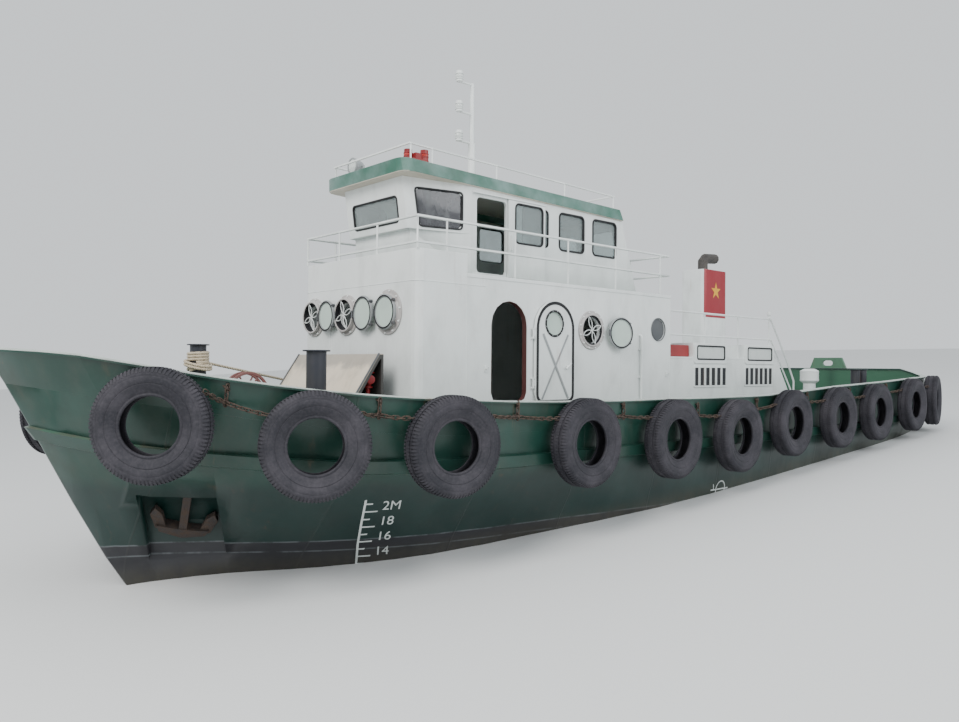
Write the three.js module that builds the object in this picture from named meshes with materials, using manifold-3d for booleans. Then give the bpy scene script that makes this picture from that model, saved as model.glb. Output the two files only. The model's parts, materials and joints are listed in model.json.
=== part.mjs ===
// A harbour tug about 21 m long, with a green steel hull, white houses and a row of tyre fenders.
// She is drawn standing level, in millimetres: X forward of midships, Y to port, Z up from the keel.
// The last lines float her: the group is sunk to its draught and turned to its trim, bow up.
import * as THREE from "three";
import { mergeVertices } from "three/addons/utils/BufferGeometryUtils.js";
import Module from "manifold-3d";

// Driving dimensions
const TRIM = THREE.MathUtils.degToRad(3.73);
const DRAUGHT = 1706;
const GAP = 0.3;

const DECK = 3010;
const DECK_RISE = {
  forward: { from: 6000, length: 4400, height: 650 },
  aft: { from: -5800, length: 4750, height: 240 },
};
const STEM = { z: 1120, rake: 0.517, curve: 0.0009 };
const BULWARK_PLATE = 70;
const CAP_RAIL = { outboard: 30, inboard: 100, thick: 40 };
const STRAKE = { height: 200, proud: 50 };

const HOUSE = { front: 5630, aft: -370, half: 1530, wall: 60, corner: 120, parapetEnd: 4700, parapetTop: 5520 };
const BOAT_DECK = { top: 5240, thick: 60, overhang: 10 };
const WHEELHOUSE = { half: 1050, wall: 50, taperFrom: 4210, aftFoot: 30, rake: 0.3465 };
const ROOF = {
  aft: 560, front: 5550, bottomAft: 6590, bottomFront: 6690, thick: 205, half: 1100, topHalf: 1060, corner: 170,
};
const CASING = { front: HOUSE.aft - GAP, half: 1530, wall: 40, top: 4090 };

const TYRE = { radius: 620, hole: 310, width: 310, sides: 14 };
const ROPE = { radius: 22, sides: 8, steps: 45 };
const PIPE = { rail: 21, post: 18, sides: 5 };

// Rows of a table as objects, so that each column keeps its name.
const table = (columns, rows) =>
  rows.map((row) => Object.fromEntries(columns.map((name, i) => [name, row[i]])));

// Solids: plain three.js geometry whose corners are shared and whose faces point out.
const wasm = await Module();
wasm.setup();

function volume(geometry) {
  const at = geometry.getAttribute("position");
  const index = geometry.getIndex().array;
  const [a, b, c] = [new THREE.Vector3(), new THREE.Vector3(), new THREE.Vector3()];
  let sum = 0;
  for (let i = 0; i < index.length; i += 3) {
    a.fromBufferAttribute(at, index[i]);
    b.fromBufferAttribute(at, index[i + 1]);
    c.fromBufferAttribute(at, index[i + 2]);
    sum += a.dot(b.cross(c)) / 6;
  }
  return sum;
}

function closed(geometry) {
  const bare = geometry.clone();
  bare.deleteAttribute("normal");
  bare.deleteAttribute("uv");
  const merged = mergeVertices(bare, 0.01);
  const index = merged.getIndex().array;
  const kept = [];
  for (let i = 0; i < index.length; i += 3) {
    const [a, b, c] = index.slice(i, i + 3);
    if (a !== b && b !== c && c !== a) kept.push(a, b, c);
  }
  merged.setIndex(kept);
  if (volume(merged) < 0) merged.setIndex(kept.reverse());
  return merged;
}

function solidOf(geometry) {
  const mesh = new wasm.Mesh({
    numProp: 3,
    vertProperties: geometry.getAttribute("position").array,
    triVerts: new Uint32Array(geometry.getIndex().array),
  });
  return new wasm.Manifold(mesh);
}

function geometryOf(solid) {
  const mesh = solid.getMesh();
  const geometry = new THREE.BufferGeometry();
  geometry.setAttribute("position", new THREE.BufferAttribute(mesh.vertProperties, 3));
  geometry.setIndex([...mesh.triVerts]);
  return geometry;
}

const join = (...pieces) => geometryOf(pieces.map(solidOf).reduce((sum, piece) => sum.add(piece)));
const cut = (piece, ...tools) =>
  geometryOf(tools.map(solidOf).reduce((left, tool) => left.subtract(tool), solidOf(piece)));
const mirrored = (geometry) => closed(geometry.clone().scale(1, -1, 1));

function box([x0, x1], [y0, y1], [z0, z1]) {
  const block = new THREE.BoxGeometry(Math.abs(x1 - x0), Math.abs(y1 - y0), Math.abs(z1 - z0));
  return closed(block.translate((x0 + x1) / 2, (y0 + y1) / 2, (z0 + z1) / 2));
}

// An outline swept along one axis: its points are (y, z) for axis x, (x, z) for axis y and (x, y) for axis z.
function prism(outline, axis, from, to) {
  const corners = (points) => new THREE.Shape(points.map(([u, v]) => new THREE.Vector2(u, v)));
  const shape = Array.isArray(outline) ? corners(outline) : outline;
  const swept = new THREE.ExtrudeGeometry(shape, { depth: to - from, bevelEnabled: false, curveSegments: 1 });
  swept.translate(0, 0, from);
  const turn = {
    x: new THREE.Matrix4().set(0, 0, 1, 0, 1, 0, 0, 0, 0, 1, 0, 0, 0, 0, 0, 1),
    y: new THREE.Matrix4().set(1, 0, 0, 0, 0, 0, 1, 0, 0, 1, 0, 0, 0, 0, 0, 1),
    z: new THREE.Matrix4(),
  };
  return closed(swept.applyMatrix4(turn[axis]));
}

// A rectangle with round corners, as a shape for prism.
function rounded(u0, u1, v0, v1, radius) {
  const shape = new THREE.Shape();
  shape.moveTo(u0 + radius, v0);
  shape.absarc(u1 - radius, v0 + radius, radius, -Math.PI / 2, 0, false);
  shape.absarc(u1 - radius, v1 - radius, radius, 0, Math.PI / 2, false);
  shape.absarc(u0 + radius, v1 - radius, radius, Math.PI / 2, Math.PI, false);
  shape.absarc(u0 + radius, v0 + radius, radius, Math.PI, Math.PI * 1.5, false);
  return shape;
}

// Straight sides between corners, each corner eased by a curve that starts and ends a length away from it.
function softened(corners, ease) {
  const at = corners.map(([u, v]) => new THREE.Vector2(u, v));
  const shape = new THREE.Shape();
  at.forEach((corner, i) => {
    const before = at[(i + at.length - 1) % at.length];
    const after = at[(i + 1) % at.length];
    const start = corner.clone().lerp(before, ease / corner.distanceTo(before));
    const end = corner.clone().lerp(after, ease / corner.distanceTo(after));
    if (i === 0) shape.moveTo(start.x, start.y);
    else shape.lineTo(start.x, start.y);
    shape.quadraticCurveTo(corner.x, corner.y, end.x, end.y);
  });
  return shape;
}

// A doorway's outline: round corners at the foot and a half round head.
function arched(u0, u1, v0, v1, radius) {
  const half = (u1 - u0) / 2;
  const shape = new THREE.Shape();
  shape.moveTo(u0 + radius, v0);
  shape.absarc(u1 - radius, v0 + radius, radius, -Math.PI / 2, 0, false);
  for (let k = 0; k < 4; k += 1) {
    shape.absarc(u0 + half, v1 - half, half, (k * Math.PI) / 4, ((k + 1) * Math.PI) / 4, false);
  }
  shape.absarc(u0 + radius, v0 + radius, radius, Math.PI, Math.PI * 1.5, false);
  return shape;
}

function rod(from, to, radius, sides = 8, endRadius = radius) {
  const [a, b] = [new THREE.Vector3(...from), new THREE.Vector3(...to)];
  const along = b.clone().sub(a);
  const bar = new THREE.CylinderGeometry(endRadius, radius, along.length(), sides);
  const turn = new THREE.Quaternion().setFromUnitVectors(new THREE.Vector3(0, 1, 0), along.normalize());
  bar.applyQuaternion(turn);
  return closed(bar.translate(...a.add(b).multiplyScalar(0.5)));
}

// A profile of (radius, height) points turned about an axis through a point.
function turned(profile, at, axis, sides) {
  const lathe = new THREE.LatheGeometry(profile.map(([r, h]) => new THREE.Vector2(r, h)), sides);
  const heading = new THREE.Vector3(...axis).normalize();
  const turn = new THREE.Quaternion().setFromUnitVectors(new THREE.Vector3(0, 1, 0), heading);
  lathe.applyQuaternion(turn);
  return closed(lathe.translate(...at));
}

// Rings of corners joined one to the next. An open loft is capped at both ends: as a flat face,
// or as a ladder of strips from one half of the ring to the other.
function loft(rings, ends = "flat") {
  const n = rings[0].length;
  const faces = [];
  const last = ends === "loop" ? rings.length : rings.length - 1;
  for (let i = 0; i < last; i += 1) {
    for (let j = 0; j < n; j += 1) {
      const [here, there] = [i * n, ((i + 1) % rings.length) * n];
      const next = (j + 1) % n;
      const mirroredHalf = ends === "ladder" && j >= n / 2;
      if (mirroredHalf) faces.push(here + j, here + next, there + j, here + next, there + next, there + j);
      else faces.push(here + j, here + next, there + next, here + j, there + next, there + j);
    }
  }
  if (ends !== "loop") {
    const cap = ends === "ladder" ? ladder(n) : flatCap(rings[0]);
    const farCap = ends === "ladder" ? ladder(n) : flatCap(rings[rings.length - 1]);
    for (const [a, b, c] of cap) faces.push(a, c, b);
    for (const [a, b, c] of farCap) faces.push(...[a, b, c].map((k) => k + (rings.length - 1) * n));
  }
  const geometry = new THREE.BufferGeometry();
  geometry.setAttribute("position", new THREE.Float32BufferAttribute(rings.flat(2), 3));
  geometry.setIndex(faces);
  return closed(geometry);
}

function ladder(n) {
  const faces = [];
  for (let j = 0; j < n / 2 - 1; j += 1) faces.push([j, j + 1, n - 2 - j], [j, n - 2 - j, n - 1 - j]);
  return faces;
}

// The triangles of one flat ring, each turned the way the ring runs.
function flatCap(ring) {
  const normal = new THREE.Vector3();
  ring.forEach((p, i) => {
    const q = ring[(i + 1) % ring.length];
    normal.add(new THREE.Vector3(...p).cross(new THREE.Vector3(...q)));
  });
  normal.normalize();
  const side = Math.abs(normal.z) < 0.9 ? new THREE.Vector3(0, 0, 1) : new THREE.Vector3(1, 0, 0);
  const u = side.clone().cross(normal).normalize();
  const v = normal.clone().cross(u);
  const flat = ring.map((p) => new THREE.Vector3(...p)).map((p) => new THREE.Vector2(p.dot(u), p.dot(v)));
  const area = (a, b, c) => (b.x - a.x) * (c.y - a.y) - (c.x - a.x) * (b.y - a.y);
  return THREE.ShapeUtils.triangulateShape(flat, []).map(([a, b, c]) =>
    area(flat[a], flat[b], flat[c]) > 0 ? [a, b, c] : [a, c, b],
  );
}

// A pipe along a line of points, with its bends mitred. A looped pipe ends where it began.
function pipe(points, radius, sides = PIPE.sides, looped = false) {
  const p = points.map((point) => new THREE.Vector3(...point));
  const run = (i) => p[(i + 1) % p.length].clone().sub(p[i]).normalize();
  const mitre = (i) => {
    if (!looped && i === 0) return run(0);
    if (!looped && i === p.length - 1) return run(i - 1);
    return run((i + p.length - 1) % p.length).add(run(i)).normalize();
  };
  const slide = (corner, along, at, normal) =>
    corner.clone().addScaledVector(along, at.clone().sub(corner).dot(normal) / along.dot(normal));
  const first = run(0);
  const side = Math.abs(first.z) < 0.9 ? new THREE.Vector3(0, 0, 1) : new THREE.Vector3(1, 0, 0);
  const u = side.clone().cross(first).normalize();
  const v = first.clone().cross(u);
  let ring = [];
  for (let k = 0; k < sides; k += 1) {
    const angle = ((k + 0.5) / sides) * 2 * Math.PI;
    const spoke = u.clone().multiplyScalar(Math.cos(angle)).addScaledVector(v, Math.sin(angle));
    ring.push(slide(p[0].clone().addScaledVector(spoke, radius), first, p[0], mitre(0)));
  }
  const rings = [ring];
  for (let i = 1; i < p.length; i += 1) {
    ring = ring.map((corner) => slide(corner, run(i - 1), p[i], mitre(i)));
    rings.push(ring);
  }
  return loft(rings.map((corners) => corners.map((c) => c.toArray())), looped ? "loop" : "flat");
}

const posts = (places, radius, from, to) => places.map(([x, y]) => rod([x, y, from], [x, y, to], radius, 4));

// The scene graph: the boat stands level inside a group that is sunk and turned as she floats.
const tug = new THREE.Group();
tug.rotation.y = -TRIM;
const boat = new THREE.Group();
boat.position.z = -DRAUGHT;
tug.add(boat);

const paint = (color, roughness = 0.55, metalness = 0) =>
  new THREE.MeshStandardMaterial({ color, roughness, metalness });
const PAINT = {
  hull: paint(0x2f6f55),
  white: paint(0xe8ecea),
  green: paint(0x2f6b4a),
  blue: paint(0x37415e),
  black: paint(0x1b1d1f, 0.8),
  tyre: paint(0x33363a, 0.9),
  cream: paint(0xd9cbb4),
  red: paint(0xb8322c),
  rust: paint(0x6b4636, 0.85),
  grey: paint(0x8d9296),
  steel: paint(0x9a9c9e, 0.4, 0.8),
  bronze: paint(0xa9824a, 0.35, 0.9),
  rope: paint(0xb9a98a, 0.95),
};

function add(name, material, geometry) {
  const mesh = new THREE.Mesh(geometry, material);
  mesh.name = name;
  boat.add(mesh);
}

function addPair(name, material, portGeometry) {
  add(`${name}_port`, material, portGeometry);
  add(`${name}_starboard`, material, mirrored(portGeometry));
}

// Hull form
// Each row is a frame raked by lean times the rake of the stem; steps divide the run to the next row.
const FRAMES = table(
  ["base", "lean", "steps", "keelY", "keelZ", "floorY", "floorZ", "bilgeY", "bilgeZ", "waterY", "waterZ",
    "knuckleY", "knuckleZ", "deckY", "capY", "capZ"],
  [
    [9000, 1.0, 1, 30, 0, 30, 350, 30, 700, 30, 1500, 30, 2960, 30, 30, 4050],
    [8850, 0.97, 2, 30, 0, 45, 300, 60, 650, 90, 1500, 380, 2900, 480, 500, 4030],
    [8500, 0.9, 2, 30, 0, 60, 300, 110, 650, 300, 1500, 1020, 2800, 1120, 1120, 3977],
    [7900, 0.78, 3, 40, 0, 150, 250, 330, 650, 640, 1500, 1600, 2700, 1690, 1700, 3806],
    [6900, 0.56, 3, 50, 0, 450, 180, 900, 600, 1380, 1500, 2240, 2580, 2330, 2360, 3595],
    [5600, 0.32, 2, 60, 0, 900, 150, 1500, 560, 1960, 1500, 2690, 2540, 2750, 2780, 3470],
    [4000, 0.12, 2, 60, 0, 1300, 130, 1950, 540, 2230, 1500, 2800, 2520, 2850, 2870, 3405],
    [1500, 0, 2, 60, 0, 1650, 120, 2350, 540, 2600, 1500, 2830, 2520, 2860, 2880, 3390],
    [-1500, 0, 2, 60, 0, 1700, 120, 2430, 540, 2690, 1500, 2830, 2520, 2860, 2880, 3390],
    [-4500, 0, 1, 60, 150, 1500, 270, 2300, 640, 2640, 1500, 2830, 2530, 2850, 2870, 3523],
    [-5800, 0, 2, 60, 350, 1400, 520, 2250, 860, 2620, 1600, 2830, 2560, 2850, 2870, 3565],
    [-7000, 0, 2, 60, 800, 1300, 930, 2200, 1200, 2600, 1750, 2825, 2590, 2850, 2860, 3605],
    [-9000, 0, 2, 60, 1720, 1350, 1780, 2100, 1900, 2520, 2150, 2760, 2650, 2800, 2830, 3687],
    [-10150, 0, 1, 60, 1950, 1250, 1990, 1900, 2060, 2280, 2260, 2500, 2690, 2560, 2600, 3715],
    [-10430, 0, 1, 60, 2010, 1200, 2040, 1750, 2100, 2050, 2290, 2200, 2695, 2240, 2270, 3800],
    [-10550, 0, 0, 60, 2050, 1100, 2070, 1500, 2110, 1680, 2300, 1820, 2700, 1850, 1880, 3900],
  ],
);
const LEVELS = ["keel", "floor", "bilge", "water", "knuckle", "deck", "cap"];
const SECTION_STEPS = 8;

function stemX(z) {
  const below = Math.max(0, STEM.z - z);
  return STEM.rake * (z - STEM.z) - STEM.curve * below * below;
}

function deckZ(x) {
  const { forward, aft } = DECK_RISE;
  const ahead = Math.max(0, x - forward.from) / forward.length;
  const astern = Math.max(0, aft.from - x) / aft.length;
  return DECK + forward.height * ahead ** 1.4 + aft.height * astern;
}

function levelPoint(frame, level) {
  let z = level === "deck" ? DECK : frame[`${level}Z`];
  let x = frame.base + frame.lean * stemX(z);
  for (let pass = 0; pass < 4 && level === "deck"; pass += 1) {
    z = deckZ(x);
    x = frame.base + frame.lean * stemX(z);
  }
  return new THREE.Vector3(x, frame[`${level}Y`], z);
}

// Stations down the hull: at each, one point of every level line, port side.
const levelLine = (level) => new THREE.CatmullRomCurve3(FRAMES.map((frame) => levelPoint(frame, level)));
const levelCurves = LEVELS.map(levelLine);
const STATIONS = FRAMES.flatMap((frame, row) => {
  const count = Math.max(1, frame.steps);
  return Array.from({ length: count }, (_, k) => {
    const t = (row + k / count) / (FRAMES.length - 1);
    const points = levelCurves.map((curve) => curve.getPoint(Math.min(t, 1)));
    const station = Object.fromEntries(LEVELS.map((level, i) => [level, points[i]]));
    station.deck.z = deckZ(station.deck.x);
    return station;
  });
});

// The half section from keel to deck, or on to the cap: a curve up to the knuckle, straight above it.
function halfSection(station, grow, top) {
  const curve = new THREE.CatmullRomCurve3(LEVELS.slice(0, 5).map((level) => station[level]));
  const points = curve.getPoints(SECTION_STEPS);
  points.push(station.deck.clone());
  if (top === "cap") points.push(station.cap.clone().setZ(station.cap.z - CAP_RAIL.thick - GAP));
  return points.map((p, i) => {
    const down = i === 0 ? -grow : 0;
    const up = i === points.length - 1 ? grow : 0;
    return [p.x, p.y + grow, p.z + down + up];
  });
}

function hullForm(grow = 0, top = "deck") {
  const rings = STATIONS.map((station) => {
    const port = halfSection(station, grow, top);
    const starboard = port.map(([x, y, z]) => [x, -y, z]).reverse();
    return [...port, ...starboard];
  });
  for (const corner of rings[0]) corner[0] += grow;
  for (const corner of rings[rings.length - 1]) corner[0] -= grow;
  return loft(rings, "ladder");
}

const grownHull = hullForm(GAP);
const grownShell = hullForm(GAP, "cap");

// The side of the boat met by a line straight in from port, for what hangs on it.
const shell = new THREE.Mesh(hullForm(0, "cap"), new THREE.MeshBasicMaterial({ side: THREE.DoubleSide }));
function sideY(x, z) {
  const ray = new THREE.Raycaster(new THREE.Vector3(x, 5000, z), new THREE.Vector3(0, -1, 0));
  return ray.intersectObject(shell)[0]?.point.y ?? 0;
}

// Lines round one side of the boat in plan, from the centreline at the stem to the centreline astern.
function sideLine(point) {
  const line = STATIONS.map(point);
  const [first, last] = [line[0].clone(), line[line.length - 1].clone()];
  first.y = GAP / 2;
  last.y = GAP / 2;
  return [first, ...line, last];
}

function outwardNormals(line) {
  return line.map((_, i) => {
    if (i === 0) return new THREE.Vector3(1, 0, 0);
    if (i === line.length - 1) return new THREE.Vector3(-1, 0, 0);
    const along = line[i + 1].clone().sub(line[i - 1]);
    return new THREE.Vector3(along.y, -along.x, 0).normalize();
  });
}

// A moulding that follows the side. Each corner of its section is (how far outboard, how far up, how far of the
// way from the foot line to the head line).
function sideMoulding(foot, head, corners) {
  const normals = outwardNormals(foot);
  const rings = foot.map((low, i) =>
    corners.map(([out, up, share]) => {
      const at = low.clone().lerp(head[i], share).addScaledVector(normals[i], out);
      if (i === 0 || i === foot.length - 1) at.y = GAP / 2;
      return [at.x, Math.max(at.y, GAP / 2), at.z + up];
    }),
  );
  return loft(rings);
}

// The anchor pocket: a recess square to the flare of the bow, deeper towards its head.
// Its own frame runs X forward along the side, Y out of it and Z up it.
const POCKET = { at: [8549, 729, 1888], out: [0.43, 0.64, -0.63], half: 460, rise: 550 };

function onPocket(geometry) {
  const out = new THREE.Vector3(...POCKET.out).normalize();
  const along = new THREE.Vector3(out.y, -out.x, 0).normalize();
  const up = along.clone().cross(out);
  const place = new THREE.Matrix4().makeBasis(along, out, up).setPosition(...POCKET.at);
  return closed(geometry.clone().applyMatrix4(place));
}

function pocketForm(inset) {
  const [half, rise] = [POCKET.half - inset, POCKET.rise - inset];
  const outline = [[300, -rise], [-60 + inset, -rise], [-200 + inset, -80], [-260 + inset, rise], [300, rise]];
  return onPocket(prism(outline, "x", -half, half));
}

const RUDDER = { x: -9550, radius: 55, foot: 130, head: 1700, stockHead: 2200, leading: -9330, trailing: -10080,
  thick: 150, pin: 36 };
const SHAFT = { z: 850, radius: 60, bore: 66, tubeEnd: -8480 };
const PROPELLER = { radius: 700, hub: 130, hubLength: 330, blades: 4 };

function hull() {
  const stockHole = rod([RUDDER.x, 0, 1500], [RUDDER.x, 0, RUDDER.stockHead + 50], RUDDER.radius + 6, 12);
  return cut(hullForm(), stockHole, pocketForm(0), mirrored(pocketForm(0)));
}

// A stockless anchor hangs in the pocket by its shank, its crown on the lower plate, leaning a little aft.
function anchor() {
  const lean = THREE.MathUtils.degToRad(-12);
  const arms = [[-310, -90], [-270, -190], [0, -270], [270, -190], [310, -90], [60, -110], [-60, -110]];
  const crown = prism(arms, "y", -220, -60);
  const shank = prism([[-270, 500], [-170, 500], [-60, -200], [-190, -200]], "x", -48, 48);
  const fluke = prism([[180, -200], [320, -170], [395, 70], [345, 190], [255, 90]], "y", -165, -95);
  const port = closed(fluke.clone().scale(-1, 1, 1));
  const bow = join(crown, shank, fluke, port).rotateY(lean);
  return cut(onPocket(closed(bow)), cut(grownHull, pocketForm(GAP)));
}

function skeg() {
  const outline = [[-2600, 60], [-3000, 0], [-9900, 0], [-9900, 90], [-8800, 100], [-8480, 200],
    [-8480, 1700], [-5000, 1000], [-2600, 600]];
  const fin = prism(outline, "y", -80, 80);
  const tube = rod([-7800, 0, SHAFT.z], [SHAFT.tubeEnd, 0, SHAFT.z], 170, 12);
  const bore = rod([-8100, 0, SHAFT.z], [SHAFT.tubeEnd - 10, 0, SHAFT.z], SHAFT.bore, 12);
  const heelHole = rod([RUDDER.x, 0, 30], [RUDDER.x, 0, 120], RUDDER.pin + 5, 12);
  return cut(join(fin, tube), bore, heelHole, grownHull);
}

function propeller() {
  const from = SHAFT.tubeEnd - 0.5;
  const hub = rod([from, 0, SHAFT.z], [from - PROPELLER.hubLength, 0, SHAFT.z], PROPELLER.hub, 12, 90);
  const shaft = rod([-8110, 0, SHAFT.z], [from - 50, 0, SHAFT.z], SHAFT.radius, 12);
  const blade = prism(rounded(90, PROPELLER.radius, -190, 190, 170), "z", -14, 14);
  const blades = Array.from({ length: PROPELLER.blades }, (_, i) => {
    const geometry = blade.clone();
    geometry.rotateX(THREE.MathUtils.degToRad(35));
    geometry.rotateY(-Math.PI / 2);
    geometry.rotateX(((i + 0.5) / PROPELLER.blades) * 2 * Math.PI);
    return closed(geometry.translate(from - PROPELLER.hubLength / 2, 0, SHAFT.z));
  });
  return join(hub, shaft, ...blades);
}

function rudder() {
  const { x, foot, head, stockHead } = RUDDER;
  const half = RUDDER.thick / 2;
  const plan = [[RUDDER.leading, 0], [x + 120, half * 0.8], [x, half], [RUDDER.trailing, 12],
    [RUDDER.trailing, -12], [x, -half], [x + 120, -half * 0.8]];
  const blade = prism(plan, "z", foot, head);
  const stock = rod([x, 0, head - 200], [x, 0, stockHead], RUDDER.radius, 12);
  const pin = rod([x, 0, 30.5], [x, 0, foot + 70], RUDDER.pin, 12);
  return join(blade, stock, pin);
}

function rubStrake() {
  const foot = sideLine((s) => s.knuckle.clone());
  const head = sideLine((s) => s.deck.clone());
  const rings = foot.map((low, i) => {
    const share = STRAKE.height / (head[i].z - low.z);
    return low.clone().lerp(head[i], share);
  });
  const { proud } = STRAKE;
  const strake = sideMoulding(foot, rings, [[-30, 0, 0], [proud, 25, 0], [proud, -25, 1], [-30, 0, 1]]);
  return cut(strake, grownHull);
}

function bulwark() {
  const foot = sideLine((s) => s.deck.clone());
  const head = sideLine((s) => s.cap.clone());
  const top = -CAP_RAIL.thick - GAP;
  const section = [[0, GAP, 0], [0, top, 1], [-BULWARK_PLATE, top, 1], [-BULWARK_PLATE, GAP, 0]];
  return sideMoulding(foot, head, section);
}

function capRail() {
  const line = sideLine((s) => s.cap.clone());
  const { outboard, inboard, thick } = CAP_RAIL;
  const section = [[0, -thick, 0], [-BULWARK_PLATE, -thick, 0], [-inboard, -thick, 0], [-inboard, 0, 0],
    [outboard, 0, 0], [outboard, -thick, 0]];
  return sideMoulding(line, line, section);
}

// Tyre fenders: where each hangs on the side, as X and Z of its centre. Between two tyres the chain is held
// up to an eye on the bulwark.
const TYRES = table(
  ["x", "z"],
  [[9300, 3230], [7780, 2980], [6140, 2910], [3830, 2830], [1760, 2770], [-130, 2720], [-2030, 2860],
    [-4030, 2890], [-5900, 2940], [-7980, 3050], [-9630, 3110]],
);
const TYRE_CLEAR = 62;
const CHAIN = { radius: 19, above: 350, reach: 430, eye: 160, sides: 3 };

// The heading of the cap rail beside a tyre, and the centre that lets it hang clear of everything behind it.
function tyrePlace({ x, z }) {
  const reach = 420;
  const run = new THREE.Vector3(2 * reach, sideY(x + reach, z + 300) - sideY(x - reach, z + 300), 0);
  const normal = new THREE.Vector3(-run.y, run.x, 0).normalize();
  const along = new THREE.Vector3(normal.y, -normal.x, 0);
  let out = 0;
  for (let pass = 0; pass < 3; pass += 1) {
    const centreY = (out - normal.x * x) / normal.y;
    const centre = new THREE.Vector3(x, centreY, z);
    out = Math.max(...[-600, -300, 0, 300, 600].flatMap((s) =>
      [-450, -200, 0, 200, 400, 600].map((up) => {
        const px = centre.x + along.x * s;
        return normal.dot(new THREE.Vector3(px, sideY(px, z + up), 0));
      })));
    out += TYRE_CLEAR + TYRE.width / 2;
  }
  return { centre: new THREE.Vector3(x, (out - normal.x * x) / normal.y, z), normal, along };
}

function tyreFenders() {
  const { radius, hole, width, sides } = TYRE;
  const half = width / 2;
  const profile = [[hole, -half * 0.65], [hole + 165, -half], [radius, -half * 0.7], [radius, half * 0.7],
    [hole + 165, half], [hole, half * 0.65], [hole, -half * 0.65]];
  const places = TYRES.map(tyrePlace);
  const pieces = places.map(({ centre, normal }) => turned(profile, centre.toArray(), normal.toArray(), sides));
  for (let i = 0; i + 1 < places.length; i += 1) {
    const from = places[i].centre.clone().addScaledVector(places[i].along, -CHAIN.reach);
    const to = places[i + 1].centre.clone().addScaledVector(places[i + 1].along, CHAIN.reach);
    from.z += CHAIN.above;
    to.z += CHAIN.above;
    const middle = from.clone().lerp(to, 0.5);
    middle.y = sideY(middle.x, middle.z) + 2 * CHAIN.radius;
    const eye = middle.clone().setZ(middle.z + CHAIN.eye);
    eye.y = sideY(eye.x, eye.z) - BULWARK_PLATE / 2;
    pieces.push(pipe([from.toArray(), middle.toArray(), to.toArray()], CHAIN.radius, CHAIN.sides));
    pieces.push(rod(middle.toArray(), eye.toArray(), CHAIN.radius, CHAIN.sides));
  }
  return cut(join(...pieces), grownShell);
}

add("hull", PAINT.hull, hull());
add("skeg", PAINT.black, skeg());
add("propeller", PAINT.bronze, propeller());
add("rudder", PAINT.black, rudder());
addPair("rub_strake", PAINT.hull, rubStrake());
addPair("bulwark", PAINT.hull, bulwark());
addPair("cap_rail", PAINT.white, capRail());
addPair("tyre_fenders", PAINT.tyre, tyreFenders());
addPair("anchor", PAINT.rust, anchor());

// Lower house
const DOOR = {
  x0: 3460, x1: 4220, z0: 3330, z1: 4880, hingeX: 3355, leafX0: 2420, leafZ0: 3290, leafZ1: 4935, thick: 50,
};
const HINGE_Y = HOUSE.half + 40;
const PORTHOLES = {
  front: table(["y", "z", "r"], [[-1200, 4650, 190], [-230, 4650, 200], [840, 4650, 225]]),
  side: table(["x", "z", "r"], [[1920, 4500, 225], [20, 4580, 200]]),
};

// The bent front in plan, from the port end round to starboard, a distance in from the outside.
function frontPlan(inset, endX = HOUSE.parapetEnd) {
  const { front, half, corner } = HOUSE;
  const radius = corner - inset;
  const port = [[endX, half - inset]];
  for (let k = 0; k <= 3; k += 1) {
    const angle = (Math.PI / 2) * (1 - k / 3);
    port.push([front - corner + radius * Math.cos(angle), half - corner + radius * Math.sin(angle)]);
  }
  return [...port, ...port.map(([x, y]) => [x, -y]).reverse()];
}

function deckhouseFront() {
  const band = [...frontPlan(0), ...frontPlan(HOUSE.wall).reverse()];
  const wall = prism(band, "z", DECK + GAP, HOUSE.parapetTop);
  const { front } = HOUSE;
  const holes = PORTHOLES.front.map(({ y, z, r }) => rod([front - 200, y, z], [front + 100, y, z], r, 16));
  return cut(wall, ...holes);
}

function deckhouseSide() {
  const { aft, parapetEnd, half, wall } = HOUSE;
  const top = BOAT_DECK.top - BOAT_DECK.thick - GAP;
  const panel = box([aft, parapetEnd - GAP], [half - wall, half], [DECK + GAP, top]);
  const doorway = prism(arched(DOOR.x0, DOOR.x1, DOOR.z0, DOOR.z1, 150), "y", half - 200, half + 100);
  const holes = PORTHOLES.side.map(({ x, z, r }) => rod([x, half - 200, z], [x, half + 100, z], r, 16));
  const eye = (z0, z1) => box([DOOR.hingeX - 14, DOOR.hingeX + 14], [half - 5, HINGE_Y + 14], [z0, z1]);
  const eyes = HINGE_HEIGHTS.flatMap((z) => [eye(z - 85, z - 65), eye(z + 65, z + 85)]);
  return join(cut(panel, doorway, ...holes), ...eyes);
}

const HINGE_HEIGHTS = [3620, 4400];

function deckhouseDoor() {
  const { hingeX, leafX0, leafZ0, leafZ1, thick } = DOOR;
  const y = HINGE_Y;
  const leaf = prism(arched(leafX0, hingeX - 35, leafZ0, leafZ1, 190), "y", y - thick / 2, y + thick / 2);
  const knuckles = HINGE_HEIGHTS.map((z) => rod([hingeX, y, z - 64.6], [hingeX, y, z + 64.6], 14, 8));
  const straps = HINGE_HEIGHTS.map((z) => box([hingeX - 80, hingeX], [y - 8, y + 8], [z - 50, z + 50]));
  const window = rod([2900, HOUSE.half, 4570], [2900, HOUSE.half + 200, 4570], 192, 16);
  return cut(join(leaf, ...knuckles, ...straps), window);
}

function deckhouseAft() {
  const { aft, half, wall } = HOUSE;
  const inside = half - wall - GAP;
  return box([aft, aft + wall], [-inside, inside], [DECK + GAP, BOAT_DECK.top - BOAT_DECK.thick - GAP]);
}

function boatDeck() {
  const { aft, half, parapetEnd } = HOUSE;
  const edge = half + BOAT_DECK.overhang;
  const bow = frontPlan(HOUSE.wall + GAP, parapetEnd - GAP);
  const [stern, front] = [aft - BOAT_DECK.overhang, parapetEnd - GAP];
  const outline = [[stern, edge], [front, edge], ...bow, [front, -edge], [stern, -edge]];
  return prism(outline, "z", BOAT_DECK.top - BOAT_DECK.thick, BOAT_DECK.top);
}

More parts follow.
